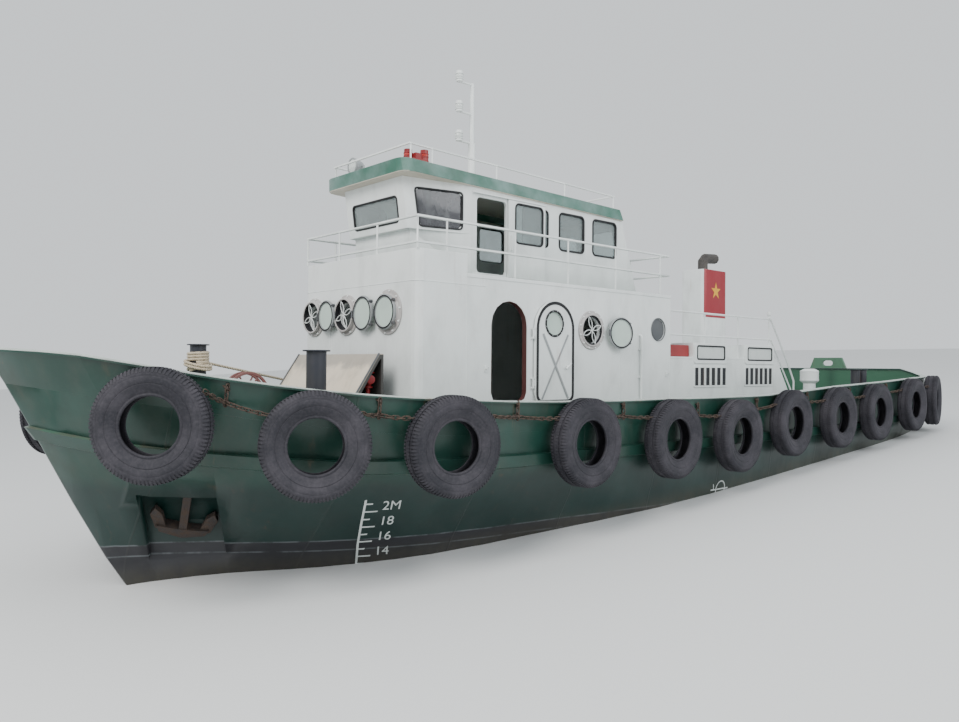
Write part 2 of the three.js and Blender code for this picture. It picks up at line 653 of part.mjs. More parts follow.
add("deckhouse_front", PAINT.white, deckhouseFront());
addPair("deckhouse_side", PAINT.white, deckhouseSide());
add("deckhouse_aft", PAINT.white, deckhouseAft());
addPair("deckhouse_door", PAINT.white, deckhouseDoor());
add("boat_deck", PAINT.green, boatDeck());

// Wheelhouse
// Levels of the bent front: its height, how far forward it stands and half the width of its flat face.
const FRONT_LEVELS = table(
  ["z", "x", "half"],
  [[BOAT_DECK.top + GAP, 5150, 735], [5920, 5160, 740], [5930, 5245, 780], [6685, 5350, 780]],
);
const roofBottom = (x) => {
  const share = (x - 500) / 4950;
  return ROOF.bottomAft + (ROOF.bottomFront - ROOF.bottomAft) * share;
};

function wheelhouseFront() {
  const { half, wall, taperFrom } = WHEELHOUSE;
  const rings = FRONT_LEVELS.map(({ z, x, half: flat }) => {
    const run = Math.hypot(x - taperFrom, half - flat);
    const [dx, dy] = [(x - taperFrom) / run, (half - flat) / run];
    const start = taperFrom + GAP;
    const startHalf = half - (GAP * dy) / dx;
    const plan = [[start, startHalf], [x, flat], [x, -flat], [start, -startHalf],
      [start, wall / dx - startHalf], [x - wall, (wall * (1 - dy)) / dx - flat],
      [x - wall, flat - (wall * (1 - dy)) / dx], [start, startHalf - wall / dx]];
    const head = (px) => (z > 6600 ? roofBottom(px) - GAP : z);
    return plan.map(([px, py]) => [px, py, head(px)]);
  });
  const frontPane = prism(rounded(-595, 595, 6040, 6420, 60), "x", 4900, 5600);
  const sidePane = prism(softened([[4370, 5975], [5060, 5975], [5150, 6540], [4370, 6540]], 60), "y", 300, 1300);
  return cut(loft(rings), frontPane, sidePane, mirrored(sidePane));
}

const SIDE_WINDOWS = table(["x0", "x1"], [[2470, 3110], [1570, 2210], [670, 1330]]);
const WINDOW_BAND = { z0: 5880, z1: 6520, corner: 80 };
const SLIDING_DOOR = {
  x0: 3465, x1: 4100, z0: 5340, z1: 6520,
  leafX0: 2600, leafX1: 3450, leafZ0: 5312, leafZ1: 6560, y0: 1056, y1: 1092,
};

// The aft wall leans forward as it rises.
const aftX = (z) => WHEELHOUSE.aftFoot + (z - BOAT_DECK.top) * WHEELHOUSE.rake;

function wheelhouseSide() {
  const { half, wall, taperFrom } = WHEELHOUSE;
  const foot = BOAT_DECK.top + GAP;
  const headZ = roofBottom(aftX(ROOF.bottomAft)) - GAP;
  const frontZ = roofBottom(taperFrom) - GAP;
  const outline = [[aftX(foot), foot], [taperFrom, foot], [taperFrom, frontZ], [aftX(headZ), headZ]];
  const panel = prism(outline, "y", half - wall, half);
  const { z0, z1, corner } = WINDOW_BAND;
  const opening = (outlineOfHole) => prism(outlineOfHole, "y", half - 100, half + 20);
  const panes = SIDE_WINDOWS.map(({ x0, x1 }) => opening(rounded(x0, x1, z0, z1, corner)));
  const door = SLIDING_DOOR;
  const doorway = opening(rounded(door.x0, door.x1, door.z0, door.z1, 60));
  const tracks = [[door.leafZ0 - 30, door.leafZ0 - 6], [door.leafZ1 + 6, door.leafZ1 + 30]].map(([low, high]) =>
    box([door.leafX0 - 20, taperFrom - 20], [half - 5, door.y1 + 6], [low, high]));
  return join(cut(panel, doorway, ...panes), ...tracks);
}

function wheelhouseDoor() {
  const door = SLIDING_DOOR;
  const { z0, z1, corner } = WINDOW_BAND;
  const leaf = box([door.leafX0, door.leafX1], [door.y0, door.y1], [door.leafZ0, door.leafZ1]);
  const pane = prism(rounded(door.leafX0 + 60, 3300, z0, z1, corner), "y", door.y0 - 50, door.y1 + 50);
  const grip = box([door.leafX1 - 70, door.leafX1 - 40], [door.y1 - 5, door.y1 + 45], [5740, 5990]);
  const rollers = [door.leafX0 + 60, door.leafX1 - 120].map((x) =>
    box([x, x + 60], [door.y0 + 6, door.y1 - 6], [door.leafZ0 - 5.6, door.leafZ0 + 10]));
  return join(cut(leaf, pane), grip, ...rollers);
}

function wheelhouseAft() {
  const inside = WHEELHOUSE.half - WHEELHOUSE.wall - GAP;
  const foot = BOAT_DECK.top + GAP;
  const head = ROOF.bottomAft - GAP;
  const outline = [[aftX(foot), foot], [aftX(foot) + 52, foot], [aftX(head) + 52, head], [aftX(head), head]];
  const wall = prism(outline, "y", -inside, inside);
  const panes = [[-800, -130], [130, 800]].map(([y0, y1]) =>
    prism(rounded(y0, y1, WINDOW_BAND.z0, 6450, WINDOW_BAND.corner), "x", 0, 900));
  return cut(wall, ...panes);
}

function roofPlan(half, aft, front, z) {
  const { corner } = ROOF;
  const port = [[aft, half], [front - corner, half]];
  for (let k = 1; k <= 3; k += 1) {
    const angle = (Math.PI / 2) * (1 - k / 3);
    port.push([front - corner + corner * Math.cos(angle), half - corner + corner * Math.sin(angle)]);
  }
  return [...port, ...port.map(([x, y]) => [x, -y]).reverse()].map(([x, y]) => [x, y, z(x)]);
}

const roofTop = (x) => roofBottom(x) + ROOF.thick;

function wheelhouseRoof() {
  const slab = loft([
    roofPlan(ROOF.half, ROOF.aft - 60, ROOF.front - 30, roofBottom),
    roofPlan(ROOF.topHalf, ROOF.aft, ROOF.front, roofTop),
  ]);
  const ceiling = (x) => roofTop(x) - 60;
  const hollow = loft([roofPlan(920, 760, 4900, (x) => roofBottom(x) - 50), roofPlan(920, 760, 4900, ceiling)]);
  return cut(slab, hollow);
}

function helmConsole() {
  const floor = BOAT_DECK.top + GAP;
  const outline = [[4700, floor], [5000, floor], [5000, 6120], [4880, 6140], [4620, 5960], [4620, 5880],
    [4700, 5860]];
  const desk = prism(outline, "y", -620, 620);
  const rim = [[150, -12], [190, -12], [190, 12], [150, 12], [150, -12]];
  const wheel = turned(rim, [4560, 0, 5990], [-1, 0, 0.35], 16);
  const hub = rod([4640, 0, 5955], [4550, 0, 5993], 30, 8);
  const spoke = rod([4560, -170, 5990], [4560, 170, 5990], 12, 6);
  return join(desk, wheel, hub, spoke);
}

add("wheelhouse_front", PAINT.white, wheelhouseFront());
addPair("wheelhouse_side", PAINT.white, wheelhouseSide());
addPair("wheelhouse_door", PAINT.white, wheelhouseDoor());
add("wheelhouse_aft", PAINT.white, wheelhouseAft());
add("wheelhouse_roof", PAINT.green, wheelhouseRoof());
add("helm_console", PAINT.grey, helmConsole());

// Rails
function boatDeckRail() {
  const [aft, front, y] = [-345, HOUSE.front - HOUSE.wall / 2, 1500];
  const corners = (z) => [[aft, y, z], [front, y, z], [front, -y, z], [aft, -y, z]];
  const loop = (z) => pipe(corners(z), PIPE.rail, PIPE.sides, true);
  const parapetPosts = [[5070, y], [5070, -y], [front, y], [front, -y], [front, 520], [front, -520]];
  const deckPosts = [3700, 2480, 1240, -70].flatMap((x) => [[x, y], [x, -y]]);
  const aftPosts = [[aft, 600], [aft, -600]];
  return join(loop(5975), loop(5610),
    ...posts(parapetPosts, PIPE.post, HOUSE.parapetTop + GAP, 5980),
    ...posts([...deckPosts, ...aftPosts], PIPE.post, BOAT_DECK.top + GAP, 5980));
}

function roofRail() {
  const [aft, front, y] = [700, 5390, 1020];
  const height = (x) => roofTop(x) + 225;
  const [high, low] = [height(front), height(aft)];
  const corners = [[aft, y, low], [front, y, high], [front, -y, high], [aft, -y, low]];
  const rail = pipe(corners, PIPE.post, PIPE.sides, true);
  const feet = [720, 2050, 3660, 4970, 5370].flatMap((x) => [[x, y], [x, -y]]);
  const uprights = feet.map(([x, py]) => rod([x, py, roofTop(x) + 2 * GAP], [x, py, height(x)], 15, 4));
  return join(rail, ...uprights);
}

add("boat_deck_rail", PAINT.white, boatDeckRail());
add("roof_rail", PAINT.white, roofRail());

// Roof gear
const MAST = { x: 3300, head: 8890 };
function mast() {
  const foot = roofTop(MAST.x + 150) + GAP;
  const plate = box([MAST.x - 150, MAST.x + 150], [-150, 150], [foot, foot + 25]);
  const pole = rod([MAST.x, 0, foot], [MAST.x, 0, 7700], 75, 10, 65);
  const topmast = rod([MAST.x, 0, 7690], [MAST.x, 0, MAST.head - 150], 45, 8, 35);
  const arms = [MAST.head, 8380, 7880].flatMap((z) => [
    rod([MAST.x, 0, z - 170], [MAST.x + 330, 0, z - 170], 22, 6),
    rod([MAST.x + 290, 0, z - 175], [MAST.x + 290, 0, z], 60, 10),
  ]);
  return join(plate, pole, topmast, ...arms);
}

function floodlight() {
  const foot = roofTop(5240) + GAP;
  const stand = rod([5150, -690, foot], [5150, -690, 7080], 25, 8);
  const base = rod([5150, -690, foot], [5150, -690, foot + 15], 90, 10);
  const lamp = turned([[0, -90], [90, -90], [130, 40], [130, 70], [0, 70]], [5190, -690, 7110], [1, 0, 0], 14);
  return join(stand, base, lamp);
}

function roofLamps() {
  const foot = roofTop(5320) + GAP;
  const tray = box([5020, 5320], [740, 1000], [foot, foot + 30]);
  const lamps = [[5270, 820], [5060, 940]].map(([x, y]) => rod([x, y, foot + 10], [x, y, 7080], 65, 12, 60));
  const ballast = box([5120, 5230], [860, 960], [foot, 7020]);
  return join(tray, ballast, ...lamps);
}

add("mast", PAINT.white, mast());
add("floodlight", PAINT.grey, floodlight());
add("roof_lamps", PAINT.red, roofLamps());

// Engine casing
// The raked aft end, from its top down to the deck.
const CASING_AFT = table(["x", "z"], [[-4400, CASING.top], [-4920, 3410], [-5230, DECK + GAP]]);
const CASING_WINDOWS = table(["x0", "x1"], [[-2360, -1150], [-4280, -3050]]);
const LOUVRES = table(["x0", "x1"], [[-2320, -1170], [-4210, -3050]]);
const LOUVRE_SLOTS = 6;
const DORMER = { top: 4370, deep: 520, wall: 30 };

// The run of the casing's aft edge below its top plate, down to the deck.
function casingAftLine() {
  const under = CASING.top - CASING.wall - GAP;
  const [head, knee, foot] = CASING_AFT;
  const share = (head.z - under) / (head.z - knee.z);
  return [[head.x + (knee.x - head.x) * share, under], [knee.x, knee.z], [foot.x, foot.z]];
}

function casingSide() {
  const { front, half, wall, top } = CASING;
  const outline = [[front, DECK + GAP], [front, top - wall - GAP], ...casingAftLine()];
  const panel = prism(outline, "y", half - wall, half);
  const slots = LOUVRES.flatMap(({ x0, x1 }) => {
    const pitch = (x1 - x0) / LOUVRE_SLOTS;
    return Array.from({ length: LOUVRE_SLOTS }, (_, i) =>
      box([x0 + pitch * (i + 0.2), x0 + pitch * (i + 0.8)], [half - 100, half + 20], [3530, 3880]));
  });
  return cut(panel, ...slots);
}

function casingAft() {
  const inside = CASING.half - CASING.wall - GAP;
  const outer = casingAftLine();
  const inner = outer.map(([x, z]) => [x + 50, z]).reverse();
  return prism([...outer, ...inner], "y", -inside, inside);
}

function casingTop() {
  const { front, half, wall, top } = CASING;
  const plate = box([CASING_AFT[0].x, front], [-half, half], [top - wall, top]);
  const pieces = [plate];
  const hollows = [];
  for (const { x0, x1 } of CASING_WINDOWS) {
    for (const way of [-1, 1]) {
      const [outer, inner] = [way * half, way * (half - DORMER.deep)];
      pieces.push(box([x0, x1], [outer, inner], [top - 10, DORMER.top]));
      const skin = DORMER.wall;
      const inside = [outer - way * skin, inner + way * skin];
      hollows.push(box([x0 + skin, x1 - skin], inside, [top - 100, DORMER.top - skin]));
      hollows.push(box([x0 + 90, x1 - 90], [outer + way * 50, outer - way * 60], [top + 60, DORMER.top - 60]));
    }
  }
  return cut(join(...pieces), ...hollows);
}

const FUNNEL = { aft: -4390, front: -3430, half: 310, top: 6120, plate: 40 };
function funnel() {
  const { aft, front, half, top, plate } = FUNNEL;
  const shellBox = prism(rounded(aft, front, -half, half, 90), "z", CASING.top + GAP, top);
  const bore = rounded(aft + plate, front - plate, plate - half, half - plate, 60);
  const hollow = prism(bore, "z", CASING.top - 50, top - plate);
  return cut(shellBox, hollow);
}

function exhaust() {
  const foot = FUNNEL.top + GAP;
  return pipe([[-3850, 0, foot], [-3850, 0, 6330], [-3950, 0, 6420], [-4350, 0, 6450]], 115, 10);
}

function casingRail() {
  const y = CASING.half - 45;
  const front = HOUSE.aft - 40;
  const topLine = [[front, y, 4960], [-4230, y, 4960], [-4580, y, 4540], [-5080, y, 3900], [-5290, y, 3600],
    [-5290, y, DECK + GAP]];
  const top = pipe(topLine, PIPE.rail);
  const mid = pipe([[front, y, 4510], [-4230, y, 4510], [-4560, y, 4110], [-5290, y, 3230]], PIPE.post);
  const onDormer = (x) => CASING_WINDOWS.some(({ x0, x1 }) => x > x0 - 30 && x < x1 + 30);
  const uprights = [front, -1600, -2850, -4150].map((x) =>
    rod([x, y, (onDormer(x) ? DORMER.top : CASING.top) + GAP], [x, y, 4965], PIPE.post, PIPE.sides));
  return join(top, mid, ...uprights);
}

function aftLadder() {
  const y = [1020, 1420];
  const [head, knee, foot] = CASING_AFT;
  const line = [[head.x - 60, head.z + 60], [knee.x - 90, knee.z], [foot.x - 90, foot.z]];
  const back = line.map(([x, z]) => [x - 60, z]).reverse();
  const stringer = (at) => prism([...line, ...back], "y", at - 12, at + 12);
  const tread = ([x0, z0], [x1, z1], share) => {
    const [x, z] = [x0 + (x1 - x0) * share, z0 + (z1 - z0) * share];
    return box([x - 130, x + 5], y, [z - 25, z]);
  };
  const upper = [0.12, 0.4, 0.68].map((share) => tread(line[0], line[1], share));
  const lower = [0.2, 0.65].map((share) => tread(line[1], line[2], share));
  return join(stringer(y[0]), stringer(y[1]), ...upper, ...lower);
}

addPair("engine_casing_side", PAINT.white, casingSide());
add("engine_casing_aft", PAINT.white, casingAft());
add("engine_casing_top", PAINT.white, casingTop());
add("engine", PAINT.grey, box([-4000, -1300], [-620, 620], [DECK + GAP, 3720]));
add("funnel", PAINT.red, funnel());
add("exhaust", PAINT.steel, exhaust());
addPair("casing_rail", PAINT.white, casingRail());
add("aft_ladder", PAINT.green, aftLadder());
add("deck_box", PAINT.red, box([-1130, -410], [1130, 1440], [CASING.top + GAP, 4320]));

// Fore deck: what stands on the sloping deck is cut to it.
const onDeck = (geometry) => cut(geometry, grownHull);

const BOW_BOLLARD = {
  x: 7340, y: 1780, radius: 122, flange: 167, foot: 230, portTop: 4060, starboardTop: 4185,
};

function bowBollard(top, y) {
  const { x, radius, flange, foot } = BOW_BOLLARD;
  const profile = [[0, 3000], [foot, 3000], [foot, 3185], [radius, 3200], [radius, top - 45],
    [flange, top - 40], [flange, top], [0, top]];
  return onDeck(turned(profile, [x, y, 0], [0, 0, 1], 16));
}

// The mooring rope: turns laid up on the starboard bollard, a lead aft to the rail and in over it, and a coil.
const ROPE_TURNS = { foot: 3740, waist: 3930, head: 4050, wide: 215, narrow: 190 };
const ROPE_COIL = { x: 5050, y: -2150, inner: 203, outer: 337, height: 135 };
const ROPE_LEAD = [
  [7398, -1984.5, 3960], [7250, -2026, 3930], [7000, -2098, 3884], [6700, -2184, 3830], [6400, -2269, 3777],
  [6100, -2355, 3724], [5800, -2441, 3670], [5500, -2527, 3617], [5200, -2612, 3560], [4950, -2684, 3507],
  [4750, -2742, 3462], [4600, -2783, 3443], [4450, -2812, 3436.5], [4320, -2824, 3433], [4220, -2810, 3431],
  [4145, -2765, 3428], [4105, -2705, 3412], [4092, -2650, 3372], [4092, -2605, 3300], [4105, -2575, 3210],
  [4140, -2553, 3120], [4205, -2537, 3058], [4290, -2525, 3035], [4400, -2518, 3032.5], [4560, -2513, 3032.5],
  [4740, -2510, 3032.5], [4900, -2509.5, 3032.5], [5050, -2509.5, 3032.5],
];

function ropeTurns() {
  const { foot, waist, head, wide, narrow } = ROPE_TURNS;
  const inside = BOW_BOLLARD.radius + 2 * GAP;
  const profile = [[inside, foot], [wide, foot], [narrow, waist], [narrow, waist + 60], [narrow - 20, head],
    [inside, head], [inside, foot]];
  return turned(profile, [BOW_BOLLARD.x, -BOW_BOLLARD.y, 0], [0, 0, 1], 16);
}

function ropeLead() {
  const section = new THREE.Shape().absarc(0, 0, ROPE.radius, 0, 2 * Math.PI);
  const extrudePath = new THREE.CatmullRomCurve3(ROPE_LEAD.map((point) => new THREE.Vector3(...point)));
  const settings = { steps: ROPE.steps, curveSegments: ROPE.sides / 2, extrudePath };
  return closed(new THREE.ExtrudeGeometry(section, settings));
}

function ropeCoil() {
  const { x, y, inner, outer, height } = ROPE_COIL;
  const foot = DECK + GAP;
  const profile = [[inner, foot], [outer, foot], [outer, foot + height], [inner, foot + height], [inner, foot]];
  return turned(profile, [x, y, 0], [0, 0, 1], 24);
}

// A plate that leans on an upright one, open at both ends.
function foredeckHood() {
  const outline = [[5890, 3000], [6700, 3000], [6330, 3490], [5960, 4040], [5890, 4040]];
  const wedge = prism(outline, "y", -1130, 1130);
  const inside = [[5930, 2950], [6560, 2950], [6290, 3440], [5950, 3960], [5930, 3960]];
  const through = prism(inside, "y", -1180, 1180);
  return onDeck(cut(wedge, through));
}

function windlass() {
  const [x, axle] = [7300, 3470];
  const bed = box([x - 300, x + 300], [-440, 60], [3000, 3230]);
  const flange = (y) => rod([x, y - 18, axle], [x, y + 18, axle], 305, 20);
  const drum = rod([x, -280, axle], [x, -120, axle], 150, 16);
  const shaft = rod([x, -430, axle], [x, 50, axle], 45, 10);
  const cheek = [[x - 150, 3220], [x + 150, 3220], [x + 60, axle + 60], [x - 60, axle + 60]];
  const cheeks = [-380, -20].map((y) => prism(cheek, "y", y - 25, y + 25));
  return onDeck(join(bed, flange(-280), flange(-120), drum, shaft, ...cheeks));
}

add("bow_bollard_port", PAINT.blue, bowBollard(BOW_BOLLARD.portTop, BOW_BOLLARD.y));
add("bow_bollard_starboard", PAINT.blue, bowBollard(BOW_BOLLARD.starboardTop, -BOW_BOLLARD.y));
add("bow_rope_turns", PAINT.rope, ropeTurns());
add("bow_rope_lead", PAINT.rope, ropeLead());
add("bow_rope_coil", PAINT.rope, ropeCoil());
add("foredeck_hood", PAINT.cream, foredeckHood());
add("windlass", PAINT.red, windlass());

// Aft deck
function sternBollards() {
  const [x, y] = [-7200, 2150];
  const base = box([x - 330, x + 330], [y - 170, y + 170], [3000, 3140]);
  const profile = [[0, 3100], [105, 3100], [105, 3830], [140, 3835], [140, 3870], [0, 3870]];
  const heads = [-180, 180].map((dx) => turned(profile, [x + dx, y, 0], [0, 0, 1], 14));
  return onDeck(join(base, ...heads));
}

function towingBitt() {
  const x = -6200;
  const uprights = [-450, 450].map((y) => rod([x, y, 3000], [x, y, 3980], 110, 12));
  const bar = rod([x, -720, 3640], [x, 720, 3640], 75, 10);
  const foot = box([x - 250, x + 250], [-650, 650], [3000, 3080]);
  return onDeck(join(...uprights, bar, foot));
}

function ventilator() {
  const [x, y] = [-7700, 700];
  const profile = [[0, 3000], [150, 3000], [150, 3500], [230, 3560], [230, 3820], [120, 3880], [0, 3880]];
  return onDeck(turned(profile, [x, y, 0], [0, 0, 1], 14));
}

function sternChock() {
  const foot = 3900 + GAP;
  const plate = prism([[-620, foot], [420, foot], [300, 4200], [-500, 4200]], "x", -10560, -10470);
  const slot = prism(rounded(-250, 50, 3970, 4120, 70), "x", -10700, -10400);
  return cut(plate, slot);
}

addPair("stern_bollards", PAINT.blue, sternBollards());
add("towing_bitt", PAINT.rust, towingBitt());
add("ventilator", PAINT.grey, ventilator());
add("stern_chock", PAINT.green, sternChock());

export default tug;
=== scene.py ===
# %% [markdown]
# # A harbour tug, 21 m long
# The solids of the boat come in already packed, afloat and trimmed by the stern. This notebook gives them
# their looks: paint that has been weathered, tyres with tread, chain, rope, glass and small fittings.

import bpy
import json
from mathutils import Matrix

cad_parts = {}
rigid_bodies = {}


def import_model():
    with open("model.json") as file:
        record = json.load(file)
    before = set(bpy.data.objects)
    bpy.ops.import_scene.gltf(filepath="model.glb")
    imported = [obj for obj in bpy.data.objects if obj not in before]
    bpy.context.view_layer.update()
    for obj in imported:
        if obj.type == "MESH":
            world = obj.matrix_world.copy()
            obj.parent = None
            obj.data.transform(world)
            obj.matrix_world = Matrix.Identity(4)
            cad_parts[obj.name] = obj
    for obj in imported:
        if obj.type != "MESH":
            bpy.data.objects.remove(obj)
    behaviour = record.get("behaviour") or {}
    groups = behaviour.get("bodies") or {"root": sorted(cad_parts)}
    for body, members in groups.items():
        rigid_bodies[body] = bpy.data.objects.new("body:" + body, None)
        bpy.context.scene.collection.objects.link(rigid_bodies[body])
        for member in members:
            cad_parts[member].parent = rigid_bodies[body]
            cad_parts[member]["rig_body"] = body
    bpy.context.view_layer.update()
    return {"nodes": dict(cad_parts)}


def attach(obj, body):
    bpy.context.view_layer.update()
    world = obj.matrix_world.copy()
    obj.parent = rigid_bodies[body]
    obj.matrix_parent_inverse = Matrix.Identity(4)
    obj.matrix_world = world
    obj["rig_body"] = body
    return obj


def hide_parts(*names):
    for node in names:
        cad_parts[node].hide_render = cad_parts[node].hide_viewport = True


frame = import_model()

# %% [markdown]
# ## A level boat to work on
# The boat floats 3.73 degrees by the stern. It is far easier to build pieces on a level boat, with X
# forward of midships, Y to port and Z up from the keel, and to turn each finished mesh afloat at the very
# end. One matrix does that, and its inverse brings a solid back to the level boat when something has to be
# set against it.

# %% Level boat and afloat boat
import json
import math

import bmesh
import bpy
from mathutils import Matrix, Vector
from mathutils.bvhtree import BVHTree

TRIM = math.radians(3.73)
DRAUGHT = 1.706
AFLOAT = Matrix.Rotation(-TRIM, 4, "Y") @ Matrix.Translation((0, 0, -DRAUGHT))
LEVEL = AFLOAT.inverted()
SCENE = bpy.context.scene
PORT, STARBOARD = 1, -1
SIDES = {"port": PORT, "starboard": STARBOARD}
FORWARD, UP = Vector((1, 0, 0)), Vector((0, 0, 1))
SAME_CORNER = 5e-5


def welded(*nodes):
    """The solids of these nodes in one mesh, with their loose triangles merged."""
    mesh = bmesh.new()
    for node in nodes:
        mesh.from_mesh(frame["nodes"][node].data)
    bmesh.ops.remove_doubles(mesh, verts=mesh.verts, dist=SAME_CORNER)
    return mesh


def level_mesh(*nodes):
    """The same mesh brought back to the level boat."""
    mesh = welded(*nodes)
    bmesh.ops.transform(mesh, matrix=LEVEL, verts=mesh.verts)
    return mesh


def in_scene(name, data):
    made = bpy.data.objects.new(name, data)
    SCENE.collection.objects.link(made)
    return made


print("keel at midships lies", round((AFLOAT @ Vector((0, 0, 0))).z, 3), "m below the water")

# %% [markdown]
# ## Camera
# The boat was seen from a jetty off the port bow, a little above the bulwark. The place was found from
# lines whose size is known, such as the level rails and the row of equal tyres, so it is written here as a
# place on the level boat, a heading, a small climb and a small roll.

# %% Camera
CAMERA = {"place": (12.332, 10.327, 3.88), "heading": 48.15, "climb": 0.0063, "roll": -0.45, "lens": 29.93}


def camera_on_level_boat():
    heading, roll = math.radians(CAMERA["heading"]), math.radians(CAMERA["roll"])
    flat = math.sqrt(1 - CAMERA["climb"] ** 2)
    ahead = Vector((-math.cos(heading) * flat, -math.sin(heading) * flat, CAMERA["climb"]))
    right = Vector((-math.sin(heading), math.cos(heading), 0))
    down = ahead.cross(right)
    turned_right = right * math.cos(roll) + down * math.sin(roll)
    turned_down = down * math.cos(roll) - right * math.sin(roll)
    axes = Matrix((turned_right, -turned_down, -ahead)).transposed().to_4x4()
    return Matrix.Translation(CAMERA["place"]) @ axes


camera_data = bpy.data.cameras.new("jetty_camera")
camera_data.lens = CAMERA["lens"]
camera_data.sensor_width = 36
camera_data.clip_end = 500
camera = in_scene("jetty_camera", camera_data)
camera.matrix_world = AFLOAT @ camera_on_level_boat()
SCENE.camera = camera
print("camera at", tuple(round(c, 2) for c in camera.matrix_world.translation))

# %% [markdown]
# ## Floor and light
# The floor is the water's surface: a plain pale sheet at height 0. The light is a bright overcast sky,
# which is one even world colour, with one wide soft lamp from ahead and one from port, so that round things
# turn from light to shade.

# %% Floor and light
FLOOR_HALF = 60


def lamp(name, place, target, size, power, colour):
    data = bpy.data.lights.new(name, "AREA")
    data.shape = "DISK"
    data.size, data.energy, data.color = size, power, colour
    made = in_scene(name, data)
    made.location = place
    made.rotation_euler = (Vector(target) - Vector(place)).to_track_quat("-Z", "Y").to_euler()


floor_mesh = bpy.data.meshes.new("water_level")
floor_mesh.from_pydata([(x, y, 0) for x, y in ((-1, -1), (1, -1), (1, 1), (-1, 1))], [], [(0, 1, 2, 3)])
floor_mesh.transform(Matrix.Scale(FLOOR_HALF, 4))
in_scene("water_level", floor_mesh)

floor_paint = bpy.data.materials.new("pale_floor")
floor_paint.use_nodes = True
floor_inputs = floor_paint.node_tree.nodes["Principled BSDF"].inputs
floor_inputs["Base Color"].default_value = (0.72, 0.73, 0.73, 1)
floor_inputs["Roughness"].default_value = 0.7
floor_mesh.materials.append(floor_paint)

world = bpy.data.worlds.new("overcast")
world.use_nodes = True
world.node_tree.nodes["Background"].inputs["Color"].default_value = (0.93, 0.97, 1, 1)
world.node_tree.nodes["Background"].inputs["Strength"].default_value = 1.0
SCENE.world = world
lamp("sky_ahead", (22, 6, 20), (2, 0, 1), 14, 5200, (1, 0.98, 0.95))
lamp("sky_port", (-4, 26, 16), (-2, 0, 2), 16, 3400, (0.95, 0.98, 1))
print("floor at the waterline, two lamps and an even sky")

# %% [markdown]
# ## Shapes
# Every fitting is made from a few plain kinds of mesh: a bar, a bent pipe, a profile turned about an axis,
# and a flat outline given a thickness. Each is a list of corners and faces, so that many of them can be put
# together in one piece. A bevel then breaks the edges, because a real edge always catches a line of light.

# %% Bars, pipes, turned profiles and slabs
def ring_faces(rings, count, loop=False):
    faces = []
    for i in range(rings if loop else rings - 1):
        here, there = i * count, ((i + 1) % rings) * count
        for j in range(count):
            after = (j + 1) % count
            faces.append((here + j, here + after, there + after, there + j))
    return faces


def capped(rings):
    """Rings of corners joined one to the next, with a face over each end."""
    count = len(rings[0])
    faces = ring_faces(len(rings), count)
    faces.append(tuple(reversed(range(count))))
    faces.append(tuple((len(rings) - 1) * count + j for j in range(count)))
    return [p for ring in rings for p in ring], faces


def looped(rings):
    """Rings of corners joined one to the next, and the last to the first."""
    return [p for ring in rings for p in ring], ring_faces(len(rings), len(rings[0]), loop=True)


def polar(radius, angle):
    return radius * math.cos(angle), radius * math.sin(angle)


def square_to(axis):
    axis = Vector(axis).normalized()
    side = axis.orthogonal().normalized()
    return side, axis.cross(side)


def round_points(at, u, v, radius, sides):
    angles = [2 * math.pi * k / sides for k in range(sides)]
    return [at + u * (radius * math.cos(a)) + v * (radius * math.sin(a)) for a in angles]


def bar(start, end, radius, sides=16, end_radius=None):
    u, v = square_to(Vector(end) - Vector(start))
    far = radius if end_radius is None else end_radius
    ends = ((start, radius), (end, far))
    return capped([round_points(Vector(at), u, v, size, sides) for at, size in ends])


def pipe(points, radius, sides=12, loop=False):
    """A round section carried along a line of points without twisting."""
    line = [Vector(p) for p in points]
    count = len(line)
    tangents = []
    for i in range(count):
        before = line[i - 1] if i or loop else line[i]
        after = line[(i + 1) % count] if i < count - 1 or loop else line[i]
        tangents.append((after - before).normalized())
    u, _ = square_to(tangents[0])
    rings = []
    for at, tangent in zip(line, tangents):
        u = (u - tangent * u.dot(tangent)).normalized()
        rings.append(round_points(at, u, tangent.cross(u), radius, sides))
    return looped(rings) if loop else capped(rings)


def turned(profile, at, axis=(0, 0, 1), sides=48, loop=False):
    """A line of (radius, height) turned about an axis. A closed line makes a ring, an open one gets ends."""
    u, v = square_to(axis)
    w = Vector(axis).normalized()
    rings = [round_points(Vector(at) + w * height, u, v, radius, sides) for radius, height in profile]
    return looped(rings) if loop else capped(rings)


AXES = {"x": (1, 2, 0), "y": (0, 2, 1), "z": (0, 1, 2)}


def on_axis(u, v, w, axis):
    point = [0, 0, 0]
    for value, place in zip((u, v, w), AXES[axis]):
        point[place] = value
    return Vector(point)


def slab(outline, axis, low, high):
    """A flat outline of (u, v) points given a thickness along one axis."""
    return capped([[on_axis(u, v, w, axis) for u, v in outline] for w in (low, high)])


def rim(outer, inner, axis, low, high):
    """The band between two outlines with as many points, given a thickness."""
    rings = ((outer, low), (outer, high), (inner, high), (inner, low))
    return looped([[on_axis(u, v, w, axis) for u, v in line] for line, w in rings])


def band(inner, outer, low, high, at, axis=(0, 0, 1), sides=48):
    """A flat ring: the profile is a plain rectangle."""
    return turned([(inner, low), (outer, low), (outer, high), (inner, high)], at, axis, sides, loop=True)


def arc(centre, radius, start, end, steps):
    angles = [math.radians(start + (end - start) * k / steps) for k in range(steps + 1)]
    return [(centre[0] + radius * math.cos(a), centre[1] + radius * math.sin(a)) for a in angles]


def rounded(u0, u1, v0, v1, radius, steps=6):
    """A rectangle with round corners."""
    low_u, high_u, low_v, high_v = u0 + radius, u1 - radius, v0 + radius, v1 - radius
    corners = ((high_u, low_v, -90), (high_u, high_v, 0), (low_u, high_v, 90), (low_u, low_v, 180))
    return [p for u, v, start in corners for p in arc((u, v), radius, start, start + 90, steps)]


